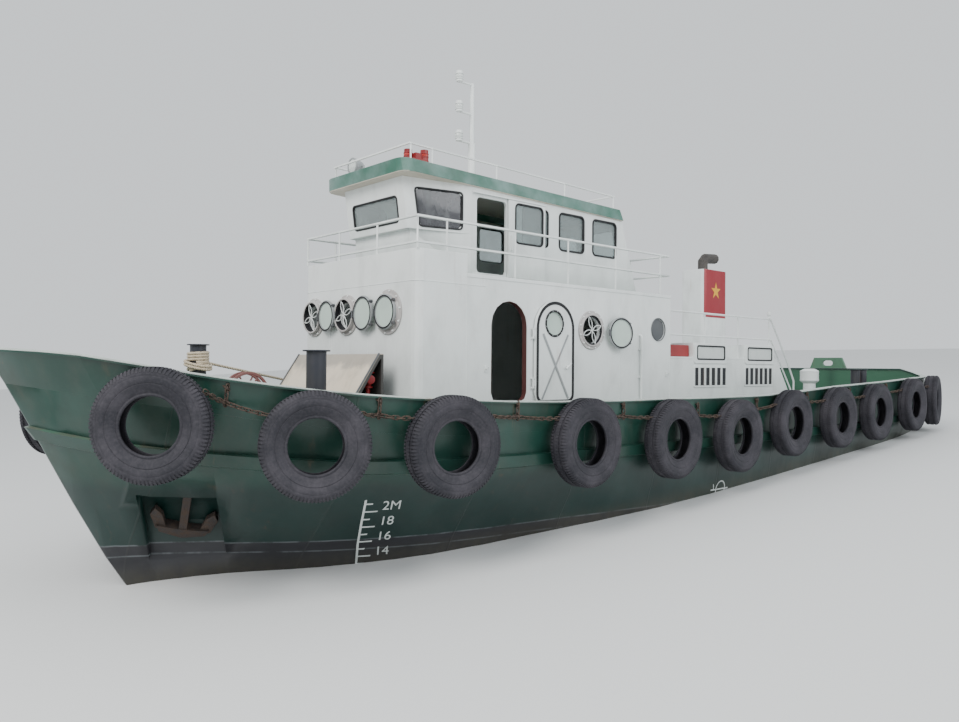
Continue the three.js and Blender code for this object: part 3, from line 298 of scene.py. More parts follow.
def block(x, y, z):
    return slab([(x[0], y[0]), (x[1], y[0]), (x[1], y[1]), (x[0], y[1])], "z", *z)


def on_side(point, side):
    """A place drawn for port, on this side of the boat."""
    return Vector((point[0], point[1] * side, point[2]))


def mirrored(shape, side):
    corners, faces = shape
    return [on_side(p, side) for p in corners], faces


def on_both_sides(shapes):
    return [mirrored(shape, side) for side in SIDES.values() for shape in shapes]


print("shapes: bar, pipe, turned, slab, rim, band, arc, rounded, block")

# %% [markdown]
# ## Pieces
# A piece is one mesh object with one finish, and it rides on one body of the boat. Its shapes are put
# together, their faces are turned outwards, the edges are bevelled by a modifier, and the mesh is floated
# last.

# %% Making a piece
SMOOTH_BELOW = math.radians(38)
BEVEL_ABOVE = math.radians(40)


def rough_mesh(name, shapes):
    corners, faces = [], []
    for shape_corners, shape_faces in shapes:
        faces += [tuple(len(corners) + k for k in face) for face in shape_faces]
        corners += [tuple(p) for p in shape_corners]
    mesh = bpy.data.meshes.new(name)
    mesh.from_pydata(corners, [], faces)
    return mesh


def tidy(mesh):
    """Merges corners that meet, turns faces outwards and shades the shallow angles smooth."""
    work = bmesh.new()
    work.from_mesh(mesh)
    bmesh.ops.remove_doubles(work, verts=work.verts, dist=1e-6)
    bmesh.ops.recalc_face_normals(work, faces=work.faces)
    work.to_mesh(mesh)
    work.free()
    mesh.polygons.foreach_set("use_smooth", [True] * len(mesh.polygons))
    mesh.set_sharp_from_angle(angle=SMOOTH_BELOW)
    return mesh


def bevelled(made, width):
    bevel = made.modifiers.new("edges", "BEVEL")
    bevel.width, bevel.segments = width, 2
    bevel.limit_method, bevel.angle_limit = "ANGLE", BEVEL_ABOVE
    return made


def as_piece(name, mesh, material, body="tug", bevel=0, replaces=(), slot=None):
    """A finished mesh in metres afloat becomes a piece of the boat."""
    mesh.name = name
    mesh.materials.clear()
    mesh.materials.append(material)
    made = in_scene(name, mesh)
    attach(made, body)
    if replaces:
        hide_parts(*replaces)
    return bevelled(made, bevel) if bevel else made


def floated(name, mesh, material, *how, turn=Matrix(), **more):
    """A mesh on the level boat is tidied, turned afloat and made a piece."""
    tidy(mesh).transform(AFLOAT @ turn)
    return as_piece(name, mesh, material, *how, **more)


def piece(name, material, shapes, *how, **more):
    return floated(name, rough_mesh(name, shapes), material, *how, **more)


def pair(name, material, shapes, body="tug", **more):
    """A piece for each side from shapes drawn for port. A body's name may carry the side as well."""
    for side_name, side in SIDES.items():
        shapes_here = [mirrored(shape, side) for shape in shapes]
        piece(f"{name}_{side_name}", material, shapes_here, body.format(side_name), **more)


print("pieces are smooth where faces meet below", round(math.degrees(SMOOTH_BELOW)), "degrees")

# %% [markdown]
# ## Finishes
# All paint on the boat is the same stuff under other colours: brushed on thick, bleached in broad patches,
# streaked with rust and dirt downwards, and chipped through to rusty steel in specks. So one recipe makes
# every paint, from a colour and how far each kind of wear has gone. Patterns lie on Object coordinates,
# levelled by a Mapping node, so streaks run down the boat and heights can be read from the keel.

# %% The tools of a finish
class Nodes:
    """A node tree that is written one node at a time."""

    def __init__(self, tree):
        self.tree = tree

    def add(self, kind, sockets=(), **settings):
        """A node with its settings made first, and then its sockets linked or set."""
        node = self.tree.nodes.new(kind)
        for name, value in settings.items():
            setattr(node, name, value)
        for key, value in dict(sockets).items():
            if isinstance(value, bpy.types.NodeSocket):
                self.tree.links.new(value, node.inputs[key])
            else:
                node.inputs[key].default_value = value
        return node

    def math(self, operation, a, b=0.0):
        return self.add("ShaderNodeMath", {0: a, 1: b}, operation=operation).outputs[0]

    def plus(self, a, b):
        return self.math("ADD", a, b)

    def times(self, a, b):
        return self.math("MULTIPLY", a, b)


class Finish(Nodes):
    """A material's node tree, with its patterns measured in metres on the level boat."""

    def __init__(self, name):
        self.material = bpy.data.materials.new(name)
        self.material.use_nodes = True
        super().__init__(self.material.node_tree)
        self.shader = self.tree.nodes["Principled BSDF"]
        self.afloat = self.add("ShaderNodeTexCoord").outputs["Object"]
        turn = {"Vector": self.afloat, "Rotation": (0, TRIM, 0), "Location": (0, 0, DRAUGHT)}
        self.place = self.add("ShaderNodeMapping", turn).outputs["Vector"]

    def noise(self, scale, stretch=(1, 1, 1), detail=4, rough=0.6, offset=(0, 0, 0)):
        moved = self.add("ShaderNodeMapping", {"Vector": self.place, "Scale": stretch, "Location": offset})
        sockets = {"Vector": moved.outputs["Vector"], "Scale": scale, "Detail": detail, "Roughness": rough}
        return self.add("ShaderNodeTexNoise", sockets).outputs["Fac"]

    def ramp(self, value, low, high, to_low=0.0, to_high=1.0):
        sockets = {"Value": value, "From Min": low, "From Max": high, "To Min": to_low, "To Max": to_high}
        return self.add("ShaderNodeMapRange", sockets, interpolation_type="SMOOTHSTEP").outputs["Result"]

    def mix(self, share, a, b):
        first, second = (c if isinstance(c, bpy.types.NodeSocket) else (*c, 1) for c in (a, b))
        return self.add("ShaderNodeMix", {0: share, 6: first, 7: second}, data_type="RGBA").outputs[2]

    def part(self, vector, axis):
        return self.add("ShaderNodeSeparateXYZ", {"Vector": vector}).outputs[axis]

    def height(self):
        """How high a point of the surface lies above the keel."""
        return self.part(self.place, "Z")

    def facing(self, axis):
        """How far a face looks along an axis, from -1 to 1."""
        return self.part(self.add("ShaderNodeNewGeometry").outputs["Normal"], axis)

    def done(self, colour, **fixed):
        """Links the colour, sets whatever is constant and gives the material."""
        self.tree.links.new(colour, self.shader.inputs["Base Color"])
        for name, value in fixed.items():
            self.shader.inputs[name.replace("_", " ")].default_value = value
        return self.material

    def roughness(self, value):
        self.tree.links.new(value, self.shader.inputs["Roughness"])

    def relief(self, value, depth, strength=1.0):
        bump = self.add("ShaderNodeBump", {"Height": value, "Distance": depth, "Strength": strength})
        self.tree.links.new(bump.outputs["Normal"], self.shader.inputs["Normal"])


RUST = (0.145, 0.055, 0.026)
RUST_LIGHT = (0.29, 0.125, 0.052)
GRIME = (0.09, 0.082, 0.07)


def wear(finish, colour, faded, bleach=0.5, dirt=0.3, rust=0.25, chips=0.3, gloss=0.42):
    """Patches, dirt, rust streaks and chips over a coat of paint. Gives the finished colour."""
    patches = finish.ramp(finish.noise(0.9, detail=5), 0.35, 0.7)
    coat = finish.mix(finish.times(patches, bleach), colour, faded)
    cloudy = finish.ramp(finish.noise(3.1, (1, 1, 0.45), detail=6, offset=(3, 1, 7)), 0.42, 0.78)
    coat = finish.mix(finish.times(cloudy, dirt), coat, GRIME)
    narrow = finish.noise(1.0, (9, 9, 0.55), detail=3, offset=(5, 2, 0))
    where = finish.ramp(finish.noise(1.3, (1, 1, 0.7), detail=2, offset=(1, 8, 2)), 0.5, 0.68)
    runs = finish.times(finish.ramp(narrow, 0.55, 0.78), where)
    coat = finish.mix(finish.times(runs, rust), coat, RUST_LIGHT)
    specks = finish.ramp(finish.noise(23, detail=6, rough=0.7, offset=(2, 2, 9)), 0.69, 0.75)
    spread = finish.ramp(finish.noise(1.7, detail=3, offset=(7, 4, 1)), 0.45, 0.7)
    chipped = finish.times(finish.times(specks, spread), chips)
    coat = finish.mix(chipped, coat, RUST)
    dull = finish.plus(finish.times(cloudy, 0.18), finish.times(chipped, 0.35))
    finish.roughness(finish.plus(dull, gloss))
    brushed = finish.noise(55, (1, 1, 0.6), detail=3)
    finish.relief(finish.math("SUBTRACT", brushed, finish.times(chipped, 2.0)), 0.0012, 0.6)
    return coat


def paint(name, colour, faded, **how):
    finish = Finish(name)
    return finish.done(wear(finish, colour, faded, **how))


print("a Finish is written from nodes, and one recipe makes weathered paint")

# %% Paints of the boat
HULL_GREEN, HULL_FADED = (0.006, 0.036, 0.025), (0.018, 0.066, 0.050)
HOUSE_WHITE, HOUSE_FADED = (0.80, 0.83, 0.82), (0.70, 0.74, 0.73)
WHITE = paint("white_paint", HOUSE_WHITE, HOUSE_FADED, dirt=0.16, rust=0.20, chips=0.45, gloss=0.38)
PALE_GREEN = paint("pale_green_paint", (0.060, 0.17, 0.10), (0.12, 0.24, 0.16), dirt=0.4, gloss=0.5, rust=0.3)
DARK_BLUE = paint("dark_blue_paint", (0.017, 0.019, 0.028), (0.040, 0.043, 0.056), rust=0.35, chips=0.8)
RED = paint("red_paint", (0.27, 0.010, 0.014), (0.34, 0.040, 0.040), dirt=0.2, rust=0.1, gloss=0.38)
PINK = paint("faded_red_paint", (0.20, 0.060, 0.058), (0.27, 0.12, 0.11), dirt=0.4, rust=0.5, gloss=0.6)
YELLOW = paint("yellow_paint", (0.72, 0.36, 0.010), (0.74, 0.42, 0.05), dirt=0.15, rust=0.05, gloss=0.4)
GREY = paint("grey_paint", (0.30, 0.32, 0.33), (0.42, 0.44, 0.44), dirt=0.35, rust=0.3, gloss=0.45)
MARKS = paint("white_marking_paint", (0.70, 0.74, 0.72), (0.55, 0.60, 0.58), rust=0.15, chips=0.6)
print("weathered paints:", len([m for m in bpy.data.materials if m.name.endswith("_paint")]))

# %% [markdown]
# ## Bare things
# Rubber, rusty iron, rope, glass and bronze aren't painted, so each has a recipe of its own. Rubber goes
# grey and dusty where it has dried. Iron chain is rust all through, light over dark. Bronze under water
# turns green in patches. Glass is a dark, clear sheet with a little salt on it.

# %% Rubber, iron, rope, glass and bronze
def rubber(name, dark, dusty, share):
    finish = Finish(name)
    dust = finish.ramp(finish.noise(2.2, detail=6, rough=0.7), 0.35, 0.75)
    fine = finish.ramp(finish.noise(38, detail=4, offset=(4, 4, 4)), 0.35, 0.8)
    both = finish.plus(finish.times(dust, share), finish.times(fine, share * 0.4))
    finish.roughness(finish.ramp(dust, 0, 1, 0.72, 0.92))
    finish.relief(finish.noise(70, detail=5, rough=0.7), 0.002, 0.7)
    return finish.done(finish.mix(both, dark, dusty), Specular_IOR_Level=0.3)


def iron(name, dark, light, scale=9.0):
    finish = Finish(name)
    bloom = finish.ramp(finish.noise(scale, detail=8, rough=0.75), 0.35, 0.68)
    pits = finish.ramp(finish.noise(scale * 9, detail=4, offset=(1, 5, 3)), 0.4, 0.7)
    shade = finish.mix(bloom, dark, light)
    finish.roughness(finish.ramp(bloom, 0, 1, 0.6, 0.95))
    finish.relief(finish.plus(bloom, pits), 0.0016, 0.8)
    return finish.done(finish.mix(finish.times(pits, 0.5), shade, (0.035, 0.020, 0.015)), Metallic=0.15)


def fibre(name, pale, dark):
    finish = Finish(name)
    soiled = finish.ramp(finish.noise(2.6, detail=5), 0.3, 0.75)
    hairs = finish.ramp(finish.noise(150, (1, 1, 1.6), detail=4), 0.3, 0.75)
    finish.roughness(finish.ramp(hairs, 0, 1, 0.98, 0.8))
    finish.relief(hairs, 0.0016, 1.0)
    coat = finish.mix(finish.times(soiled, 0.55), finish.mix(hairs, dark, pale), dark)
    return finish.done(coat, Sheen_Weight=0.3, Sheen_Roughness=0.6)


def pane_glass(name, tint, clear=0.75):
    finish = Finish(name)
    salt = finish.ramp(finish.noise(4, (1, 1, 0.6), detail=6), 0.4, 0.8)
    finish.roughness(finish.ramp(salt, 0, 1, 0.04, 0.22))
    coat = finish.mix(finish.times(salt, 0.35), tint, (0.45, 0.5, 0.5))
    return finish.done(coat, Transmission_Weight=clear, IOR=1.45)


def bronze(name):
    finish = Finish(name)
    stale = finish.ramp(finish.noise(7, detail=6, rough=0.7), 0.4, 0.7)
    finish.roughness(finish.ramp(stale, 0, 1, 0.28, 0.75))
    finish.relief(finish.noise(60, detail=4), 0.001, 0.5)
    return finish.done(finish.mix(stale, (0.50, 0.31, 0.12), (0.13, 0.21, 0.13)), Metallic=0.85)


TYRE_RUBBER = rubber("tyre_rubber", (0.020, 0.020, 0.026), (0.082, 0.076, 0.088), 0.65)
SEAL_RUBBER = rubber("seal_rubber", (0.018, 0.018, 0.020), (0.06, 0.06, 0.062), 0.4)
CHAIN_IRON = iron("chain_iron", (0.045, 0.032, 0.027), (0.125, 0.085, 0.062), 22)
ANCHOR_IRON = iron("anchor_iron", (0.030, 0.026, 0.026), (0.085, 0.058, 0.042))
ROPE = fibre("tan_rope", (0.74, 0.65, 0.49), (0.44, 0.36, 0.25))
GLASS = pane_glass("window_glass", (0.62, 0.70, 0.70))
BRONZE = bronze("sea_bronze")
print("bare materials: rubber, iron, rope, glass, bronze")

# %% [markdown]
# ## Repeats by Geometry Nodes
# Tyres in a row, lugs round a tyre, links along a chain and bolts round a flange are one small shape set
# down many times. Copying it in code would work too, but a node tree keeps the count and the spacing as
# named inputs that can be changed later. Four trees do all of it: pieces round a ring, pieces on stored
# places, pieces along a line, and a twisted section along a line. Each ends in real geometry with its
# finish set.

# %% A small way to write node trees
class Repeat(Nodes):
    """A geometry node tree with named inputs. It ends in real geometry with its material set."""

    KINDS = {int: "NodeSocketInt", float: "NodeSocketFloat"}

    def __init__(self, name, **inputs):
        super().__init__(bpy.data.node_groups.new(name, "GeometryNodeTree"))
        face = self.tree.interface
        face.new_socket("Geometry", in_out="INPUT", socket_type="NodeSocketGeometry")
        face.new_socket("Geometry", in_out="OUTPUT", socket_type="NodeSocketGeometry")
        for label, default in {**inputs, "Finish": "NodeSocketMaterial"}.items():
            kind = default if isinstance(default, str) else self.KINDS[type(default)]
            socket = face.new_socket(label, in_out="INPUT", socket_type=kind)
            if not isinstance(default, str):
                socket.default_value = default
        self.input = self.tree.nodes.new("NodeGroupInput")

    def named(self, label):
        return self.input.outputs[label]

    def index(self):
        return self.add("GeometryNodeInputIndex").outputs["Index"]

    def about(self, axis, angle):
        return self.add("ShaderNodeCombineXYZ", {axis: angle}).outputs[0]

    def placed(self, points, rotation):
        """The input named Part set down on every point."""
        part = self.add("GeometryNodeObjectInfo", {"Object": self.named("Part"), "As Instance": True})
        return self.add("GeometryNodeInstanceOnPoints", {
            "Points": points, "Instance": part.outputs["Geometry"], "Rotation": rotation}).outputs[0]

    def rolled(self, instances, rotation):
        """Every part turned further about its own axes."""
        return self.add("GeometryNodeRotateInstances", {
            "Instances": instances, "Local Space": True, "Rotation": rotation}).outputs[0]

    def finish(self, geometry, carried=None):
        real = self.add("GeometryNodeRealizeInstances", {"Geometry": geometry}).outputs["Geometry"]
        if carried is not None:
            joined = self.add("GeometryNodeJoinGeometry", {"Geometry": real})
            self.tree.links.new(carried, joined.inputs["Geometry"])
            real = joined.outputs["Geometry"]
        painted = self.add("GeometryNodeSetMaterial", {"Geometry": real, "Material": self.named("Finish")})
        output = self.tree.nodes.new("NodeGroupOutput")
        self.tree.links.new(painted.outputs["Geometry"], output.inputs["Geometry"])

    def grow(self, host, **values):
        """The plain mesh that the tree makes from a host object. The modifier and the host are removed."""
        modifier = host.modifiers.new("repeat", "NODES")
        modifier.node_group = self.tree
        for item in self.tree.interface.items_tree:
            if item.in_out == "INPUT" and item.name in values:
                modifier[item.identifier] = values[item.name]
        return baked(host)


def baked(host):
    """The mesh of an object with its modifiers applied. The object itself goes."""
    mesh = bpy.data.meshes.new_from_object(host.evaluated_get(bpy.context.evaluated_depsgraph_get()))
    host.modifiers.clear()
    bpy.data.objects.remove(host)
    return mesh


def pattern(name, shapes):
    """A small shape that a tree sets down many times. It is no piece itself, so it stays out of the scene."""
    return bpy.data.objects.new(name, tidy(rough_mesh(name, shapes)))


print("node trees are written with the Repeat class")

# %% Pieces round a ring, on stored places, along a line, and a twisted line
ring = Repeat("pieces round a ring", Count=12, Part="NodeSocketObject")
ring_points = ring.add("GeometryNodePoints", {"Count": ring.named("Count")}).outputs[0]
step = ring.math("DIVIDE", math.tau, ring.named("Count"))
around = ring.about("Z", ring.times(ring.index(), step))
ring.finish(ring.placed(ring_points, around), ring.named("Geometry"))

spots = Repeat("pieces on stored places", Part="NodeSocketObject", Spin=0.0, Seed=1)
stored = spots.add("GeometryNodeInputNamedAttribute", {"Name": "turn"}, data_type="FLOAT_VECTOR")
spin = spots.add("FunctionNodeRandomValue", {2: 0.0, 3: spots.named("Spin"), "Seed": spots.named("Seed")})
placed = spots.placed(spots.named("Geometry"), stored.outputs["Attribute"])
spots.finish(spots.rolled(placed, spots.about("Z", spin.outputs[1])))

links = Repeat("links along a line", Pitch=0.06, Part="NodeSocketObject", Roll=90.0)
pitch = {"Curve": links.named("Geometry"), "Length": links.named("Pitch")}
spaced = links.add("GeometryNodeResampleCurve", pitch, mode="LENGTH").outputs[0]
ahead = {"Vector": links.add("GeometryNodeInputTangent").outputs[0]}
along = links.add("FunctionNodeAlignRotationToVector", ahead, axis="X").outputs[0]
roll = links.times(links.index(), links.math("RADIANS", links.named("Roll")))
links.finish(links.rolled(links.placed(spaced, along), links.about("X", roll)))

lay = Repeat("strands laid along a line", Lay=0.3, Section="NodeSocketObject")
length = lay.add("GeometryNodeSplineParameter").outputs["Length"]
tilt = lay.times(lay.math("DIVIDE", length, lay.named("Lay")), math.tau)
upright = lay.add("GeometryNodeSetCurveNormal", {"Curve": lay.named("Geometry")}).outputs[0]
twisted = lay.add("GeometryNodeSetCurveTilt", {"Curve": upright, "Tilt": tilt}).outputs[0]
section = lay.add("GeometryNodeObjectInfo", {"Object": lay.named("Section")}).outputs["Geometry"]
outline = lay.add("GeometryNodeMeshToCurve", {"Mesh": section}).outputs[0]
swept = {"Curve": twisted, "Profile Curve": outline, "Fill Caps": True}
swept = lay.add("GeometryNodeCurveToMesh", swept).outputs[0]
lay.finish(lay.add("GeometryNodeSetShadeSmooth", {"Geometry": swept, "Shade Smooth": True}).outputs[0])
print("trees:", [group.name for group in bpy.data.node_groups])


# %% Hosts for the trees
def places_host(name, places):
    """A cloud of points, each with the turn that sets a part's Z along a direction and its X near up."""
    mesh = bpy.data.meshes.new(name)
    mesh.from_pydata([tuple(at) for at, _ in places], [], [])
    turns_of = mesh.attributes.new("turn", "FLOAT_VECTOR", "POINT")
    for k, (_, facing) in enumerate(places):
        z = Vector(facing).normalized()
        x = (UP - z * UP.dot(z)).normalized()
        turns_of.data[k].vector = Matrix((x, z.cross(x), z)).transposed().to_euler()
    return in_scene(name, mesh)


def line_host(name, *lines):
    """Straight runs between points, one spline for each line."""
    curve = bpy.data.curves.new(name, "CURVE")
    curve.dimensions = "3D"
    for line in lines:
        spline = curve.splines.new("POLY")
        spline.points.add(len(line) - 1)
        for point, at in zip(spline.points, line):
            point.co = (*at, 1)
    return in_scene(name, curve)


def repeated(name, tree, host, material, slot=None, replaces=(), **values):
    mesh = tree.grow(host, Finish=material, **values)
    return floated(name, mesh, material, slot=slot, replaces=replaces)


print("a tree can grow from a cloud of places or from lines")

# %% [markdown]
# ## The mooring rope
# A 44 mm three-strand rope is made fast on the starboard bow bollard: some turns cross each other low down,
# and a few level turns lie on top. From there one long lead runs aft, passes over the rail and back in, and
# the rest of its 20 m lies in a round coil on the side deck. The three strands are real shape: a section of
# three lobes is carried along the rope's line and twisted once every 0.3 m, which is the length of its lay.

# %% The rope's line
DECK = 3.010
ROPE_RADIUS = 0.022
ROPE_LENGTH = 20.0
BOLLARD = {"x": 7.340, "y": 1.780, "radius": 0.122}
LEAD = [
    (7.398, -1.9845, 3.960), (7.250, -2.026, 3.930), (7.000, -2.098, 3.884), (6.700, -2.184, 3.830),
    (6.400, -2.269, 3.777), (6.100, -2.355, 3.724), (5.800, -2.441, 3.670), (5.500, -2.527, 3.617),
    (5.200, -2.612, 3.560), (4.950, -2.684, 3.507), (4.750, -2.742, 3.462), (4.600, -2.783, 3.443),
    (4.450, -2.812, 3.4365), (4.320, -2.824, 3.433), (4.220, -2.810, 3.431), (4.145, -2.765, 3.428),
    (4.105, -2.705, 3.412), (4.092, -2.650, 3.372), (4.092, -2.605, 3.300), (4.105, -2.575, 3.210),
    (4.140, -2.553, 3.120), (4.205, -2.537, 3.058), (4.290, -2.525, 3.035), (4.400, -2.518, 3.0325),
    (4.560, -2.513, 3.0325), (4.740, -2.510, 3.0325), (4.900, -2.5095, 3.0325), (5.050, -2.5095, 3.0325),
]
COIL = {"x": 5.050, "y": -2.150, "start": 0.3595, "pitch": 0.045, "layers": 3, "turns": 3}


def smooth_line(points, per_span=6):
    """A Catmull-Rom curve through the points, so that a route of listed points has no corners."""
    p = [Vector(q) for q in points]
    p = [2 * p[0] - p[1], *p, 2 * p[-1] - p[-2]]
    line = []
    for i in range(1, len(p) - 2):
        for k in range(per_span):
            t = k / per_span
            a = 2 * p[i]
            b = p[i + 1] - p[i - 1]
            c = 2 * p[i - 1] - 5 * p[i] + 4 * p[i + 1] - p[i + 2]
            d = -p[i - 1] + 3 * p[i] - 3 * p[i + 1] + p[i + 2]
            line.append((a + b * t + c * t * t + d * t ** 3) / 2)
    line.append(p[-2])
    return line


def coil_line():
    """Three layers of turns, wound in, out and in again, each turn a rope's width from the last."""
    points, radius, angle = [], COIL["start"], -math.pi / 2
    layer, climb, swept, inward = 0, 0.0, 0.0, -1
    step = math.tau / 40
    while layer < COIL["layers"]:
        height = DECK + ROPE_RADIUS + 0.0005 + COIL["pitch"] * (layer + climb)
        x, y = polar(radius, angle)
        points.append(Vector((COIL["x"] + x, COIL["y"] + y, height)))
        angle += step
        swept += step
        if swept < COIL["turns"] * math.tau:
            radius += inward * COIL["pitch"] * step / math.tau
        else:
            climb = min(1.0, (swept - COIL["turns"] * math.tau) / 1.2)
            if climb >= 1.0:
                layer, climb, swept, inward = layer + 1, 0.0, 0.0, -inward
    return points


def cut_to_length(line, length):
    run, so_far = [line[0]], 0.0
    for here, there in zip(line, line[1:]):
        step = (there - here).length
        if so_far + step >= length:
            return run + [here.lerp(there, (length - so_far) / step)]
        so_far += step
        run.append(there)
    raise ValueError("the line is too short")


rope_line = cut_to_length(smooth_line(LEAD)[:-1] + coil_line(), ROPE_LENGTH)
print("rope line:", len(rope_line), "points, ends at", tuple(round(c, 3) for c in rope_line[-1]))


# %% The rope's strands
STRAND_POINTS = 18
LAY = 0.30


def rope_section():
    """Three round strands side by side round the middle, as one closed outline."""
    angles = [math.tau * k / STRAND_POINTS for k in range(STRAND_POINTS)]
    points = [(*polar(ROPE_RADIUS * (1.04 + 0.08 * math.cos(3 * a)), a), 0) for a in angles]
    mesh = bpy.data.meshes.new("rope_section")
    mesh.from_pydata(points, [(k, (k + 1) % STRAND_POINTS) for k in range(STRAND_POINTS)], [])
    return bpy.data.objects.new("rope_section", mesh)


SECTION = rope_section()


def laid(name, lines, **more):
    """Three twisted strands along every line."""
    host = line_host(f"{name}_line", *lines)
    return repeated(name, lay, host, ROPE, slot="rope", Lay=LAY, Section=SECTION, **more)


def knot_line():
    """A trefoil, the simplest real knot, lying on top of the coil where the rope ends."""
    end, before = rope_line[-1], rope_line[-2]
    ahead = (end - before).normalized()
    side = ahead.cross(UP)
    points = []
    for k in range(97):
        t = math.tau * (k / 96) * 0.985 + 2.35
        x = 0.031 * (math.sin(t) + 2 * math.sin(2 * t))
        y = 0.031 * (math.cos(t) - 2 * math.cos(2 * t))
        points.append(end + ahead * (0.060 + x) + side * y + UP * (0.036 - 0.034 * math.sin(3 * t)))
    return points


rope = laid("mooring_rope", [rope_line], replaces=("bow_rope_lead", "bow_rope_coil"))
knot = laid("rope_end_knot", [knot_line()])
print("rope:", len(rope.data.polygons), "faces")


# %% The turns on the bollard
def turns(count, radius, height, tilt, lean, start):
    """Turns round the bollard that climb by a rope's width each, level or tilted."""
    line = []
    for k in range(int(count * 36) + 1):
        a = start + math.tau * k / 36
        z = height + 0.046 * k / 36 + tilt * math.cos(a - lean)
        line.append(Vector((BOLLARD["x"], -BOLLARD["y"], 0)) + Vector((*polar(radius, a), z)))
    return line


against = BOLLARD["radius"] + ROPE_RADIUS + 0.002
outside = against + 2 * ROPE_RADIUS + 0.001
wrap = laid("bollard_rope_turns", [
    turns(3.4, against, 3.905, 0.0, 0, 1.0),
    turns(1.75, against, 3.800, 0.050, 2.4, 0.3),
    turns(1.9, outside, 3.815, 0.055, 5.3, 4.1)], replaces=("bow_rope_turns",))
print("turns on the bollard:", len(wrap.data.polygons), "faces")

# %% [markdown]
# ## The side of the boat
# Tyres, chain, marks and brackets all lie against the plating, so the plating has to be asked where it is.
# A ray is sent in from outboard, and the place and the direction of the surface come back.

# %% Finding the plating
side_surface = BVHTree.FromBMesh(level_mesh("hull", "bulwark_port", "bulwark_starboard"))


def plating(x, z, side=PORT):
    place, normal, _, _ = side_surface.ray_cast(Vector((x, 6 * side, z)), Vector((0, -side, 0)))
    if place is None:
        return None, None
    return place, normal if normal.y * side > 0 else -normal


TYRES = [(9.300, 3.230), (7.780, 2.980), (6.140, 2.910), (3.830, 2.830), (1.760, 2.770), (-0.130, 2.720),
         (-2.030, 2.860), (-4.030, 2.890), (-5.900, 2.940), (-7.980, 3.050), (-9.630, 3.110)]
TYRE = {"radius": 0.620, "half": 0.155, "clear": 0.062, "reach": 0.42}


def side_y(x, z):
    place, _ = plating(x, z)
    return place.y if place else 0.0


def tyre_place(x, z):
    """A tyre lies along the rail beside it, as close as the widest plating behind it lets it."""
    fore, aft = x + TYRE["reach"], x - TYRE["reach"]
    run = Vector((fore - aft, side_y(fore, z + 0.3) - side_y(aft, z + 0.3), 0))
    out = Vector((-run.y, run.x, 0)).normalized()
    along = Vector((out.y, -out.x, 0))
    stations, heights = (-0.6, -0.3, 0, 0.3, 0.6), (-0.45, -0.2, 0, 0.2, 0.4, 0.6)
    behind = [(x + along.x * s, z + up) for s in stations for up in heights]
    widest = max(out.dot(Vector((u, side_y(u, w), 0))) for u, w in behind)
    distance = widest + TYRE["clear"] + TYRE["half"]
    return Vector((x, (distance - out.x * x) / out.y, z)), out, along


TYRE_PLACES = [tyre_place(x, z) for x, z in TYRES]
print("first tyre at", tuple(round(c, 3) for c in AFLOAT @ TYRE_PLACES[0][0]))

# %% [markdown]
# ## Tyre fenders
# Eleven old truck tyres, 1.24 m across, hang on each side. A tyre is a hollow ring: its section is one
# closed line from bead to bead outside and back inside, turned about the axle. The lugs on the shoulder are
# small blocks set round that ring, ninety to a side, with the left row half a step behind the right one.
# Then the whole tyre is set down on each place along the side, turned by chance about its own axle, so that
# no two of them show the same face.

# %% One tyre
OUTSIDE = [(0.310, 0.078), (0.313, 0.094), (0.324, 0.103), (0.338, 0.101), (0.345, 0.096), (0.352, 0.101),
           (0.372, 0.113), (0.410, 0.131), (0.440, 0.1415), (0.447, 0.1375), (0.454, 0.144), (0.490, 0.152),
           (0.520, 0.153), (0.527, 0.1485), (0.534, 0.1505), (0.560, 0.144), (0.580, 0.133), (0.597, 0.118),
           (0.6055, 0.102), (0.606, 0.060), (0.5985, 0.056), (0.5985, 0.046), (0.606, 0.042),
           (0.606, 0.008), (0.5985, 0.004)]
INSIDE = [(0.588, 0.050), (0.585, 0.095), (0.565, 0.118), (0.520, 0.130), (0.450, 0.122), (0.380, 0.094),
          (0.332, 0.070), (0.314, 0.066)]
SHOULDER = [(0.6055, 0.064), (0.6190, 0.066), (0.6190, 0.098), (0.6100, 0.1140), (0.5900, 0.1335),
            (0.5620, 0.1470), (0.5580, 0.1410), (0.5850, 0.1240), (0.6000, 0.1050)]
RIB = [(0.604, -0.034), (0.619, -0.034), (0.619, 0.034), (0.604, 0.034)]
LUGS = 90


def lug(outline, half, side=1, turn=0.0):
    """A block on the tread: an outline of (radius, width) with a thickness round the tyre."""
    spun = Matrix.Rotation(turn, 3, "Z")
    return capped([[spun @ Vector((r, way, side * h)) for r, h in outline] for way in (-half, half)])


left, inner_left = [[(r, -h) for r, h in reversed(line)] for line in (OUTSIDE, INSIDE)]
tyre_section = OUTSIDE + left + inner_left + INSIDE
tread = pattern("lugs", [lug(SHOULDER, 0.0125), lug(SHOULDER, 0.0125, -1, math.pi / LUGS), lug(RIB, 0.019)])
carcass_shape = turned(tyre_section, (0, 0, 0), sides=80, loop=True)
carcass = in_scene("carcass", tidy(rough_mesh("carcass", [carcass_shape])))
tyre = bpy.data.objects.new("tyre", tidy(ring.grow(carcass, Count=LUGS, Part=tread, Finish=TYRE_RUBBER)))
print("one tyre:", len(tyre.data.polygons), "faces")

# %% The rows of tyres
for side_name, side in SIDES.items():
    places = [(on_side(at, side), on_side(out, side)) for at, out, _ in TYRE_PLACES]
    host = places_host(f"tyre_places_{side_name}", places)
    row = repeated(f"tyre_row_{side_name}", spots, host, TYRE_RUBBER, "tyre_rubber",
                   (f"tyre_fenders_{side_name}",), Part=tyre, Spin=math.tau, Seed=7 + side)
    print(row.name, len(row.data.polygons), "faces")

# %% [markdown]
# ## Chain
# One rusty chain runs from tyre to tyre. It goes round each tyre's tread, and between two tyres a short end
# lifts it to an eye on the bulwark. A link is a bent bar, and every second link stands square to the last.

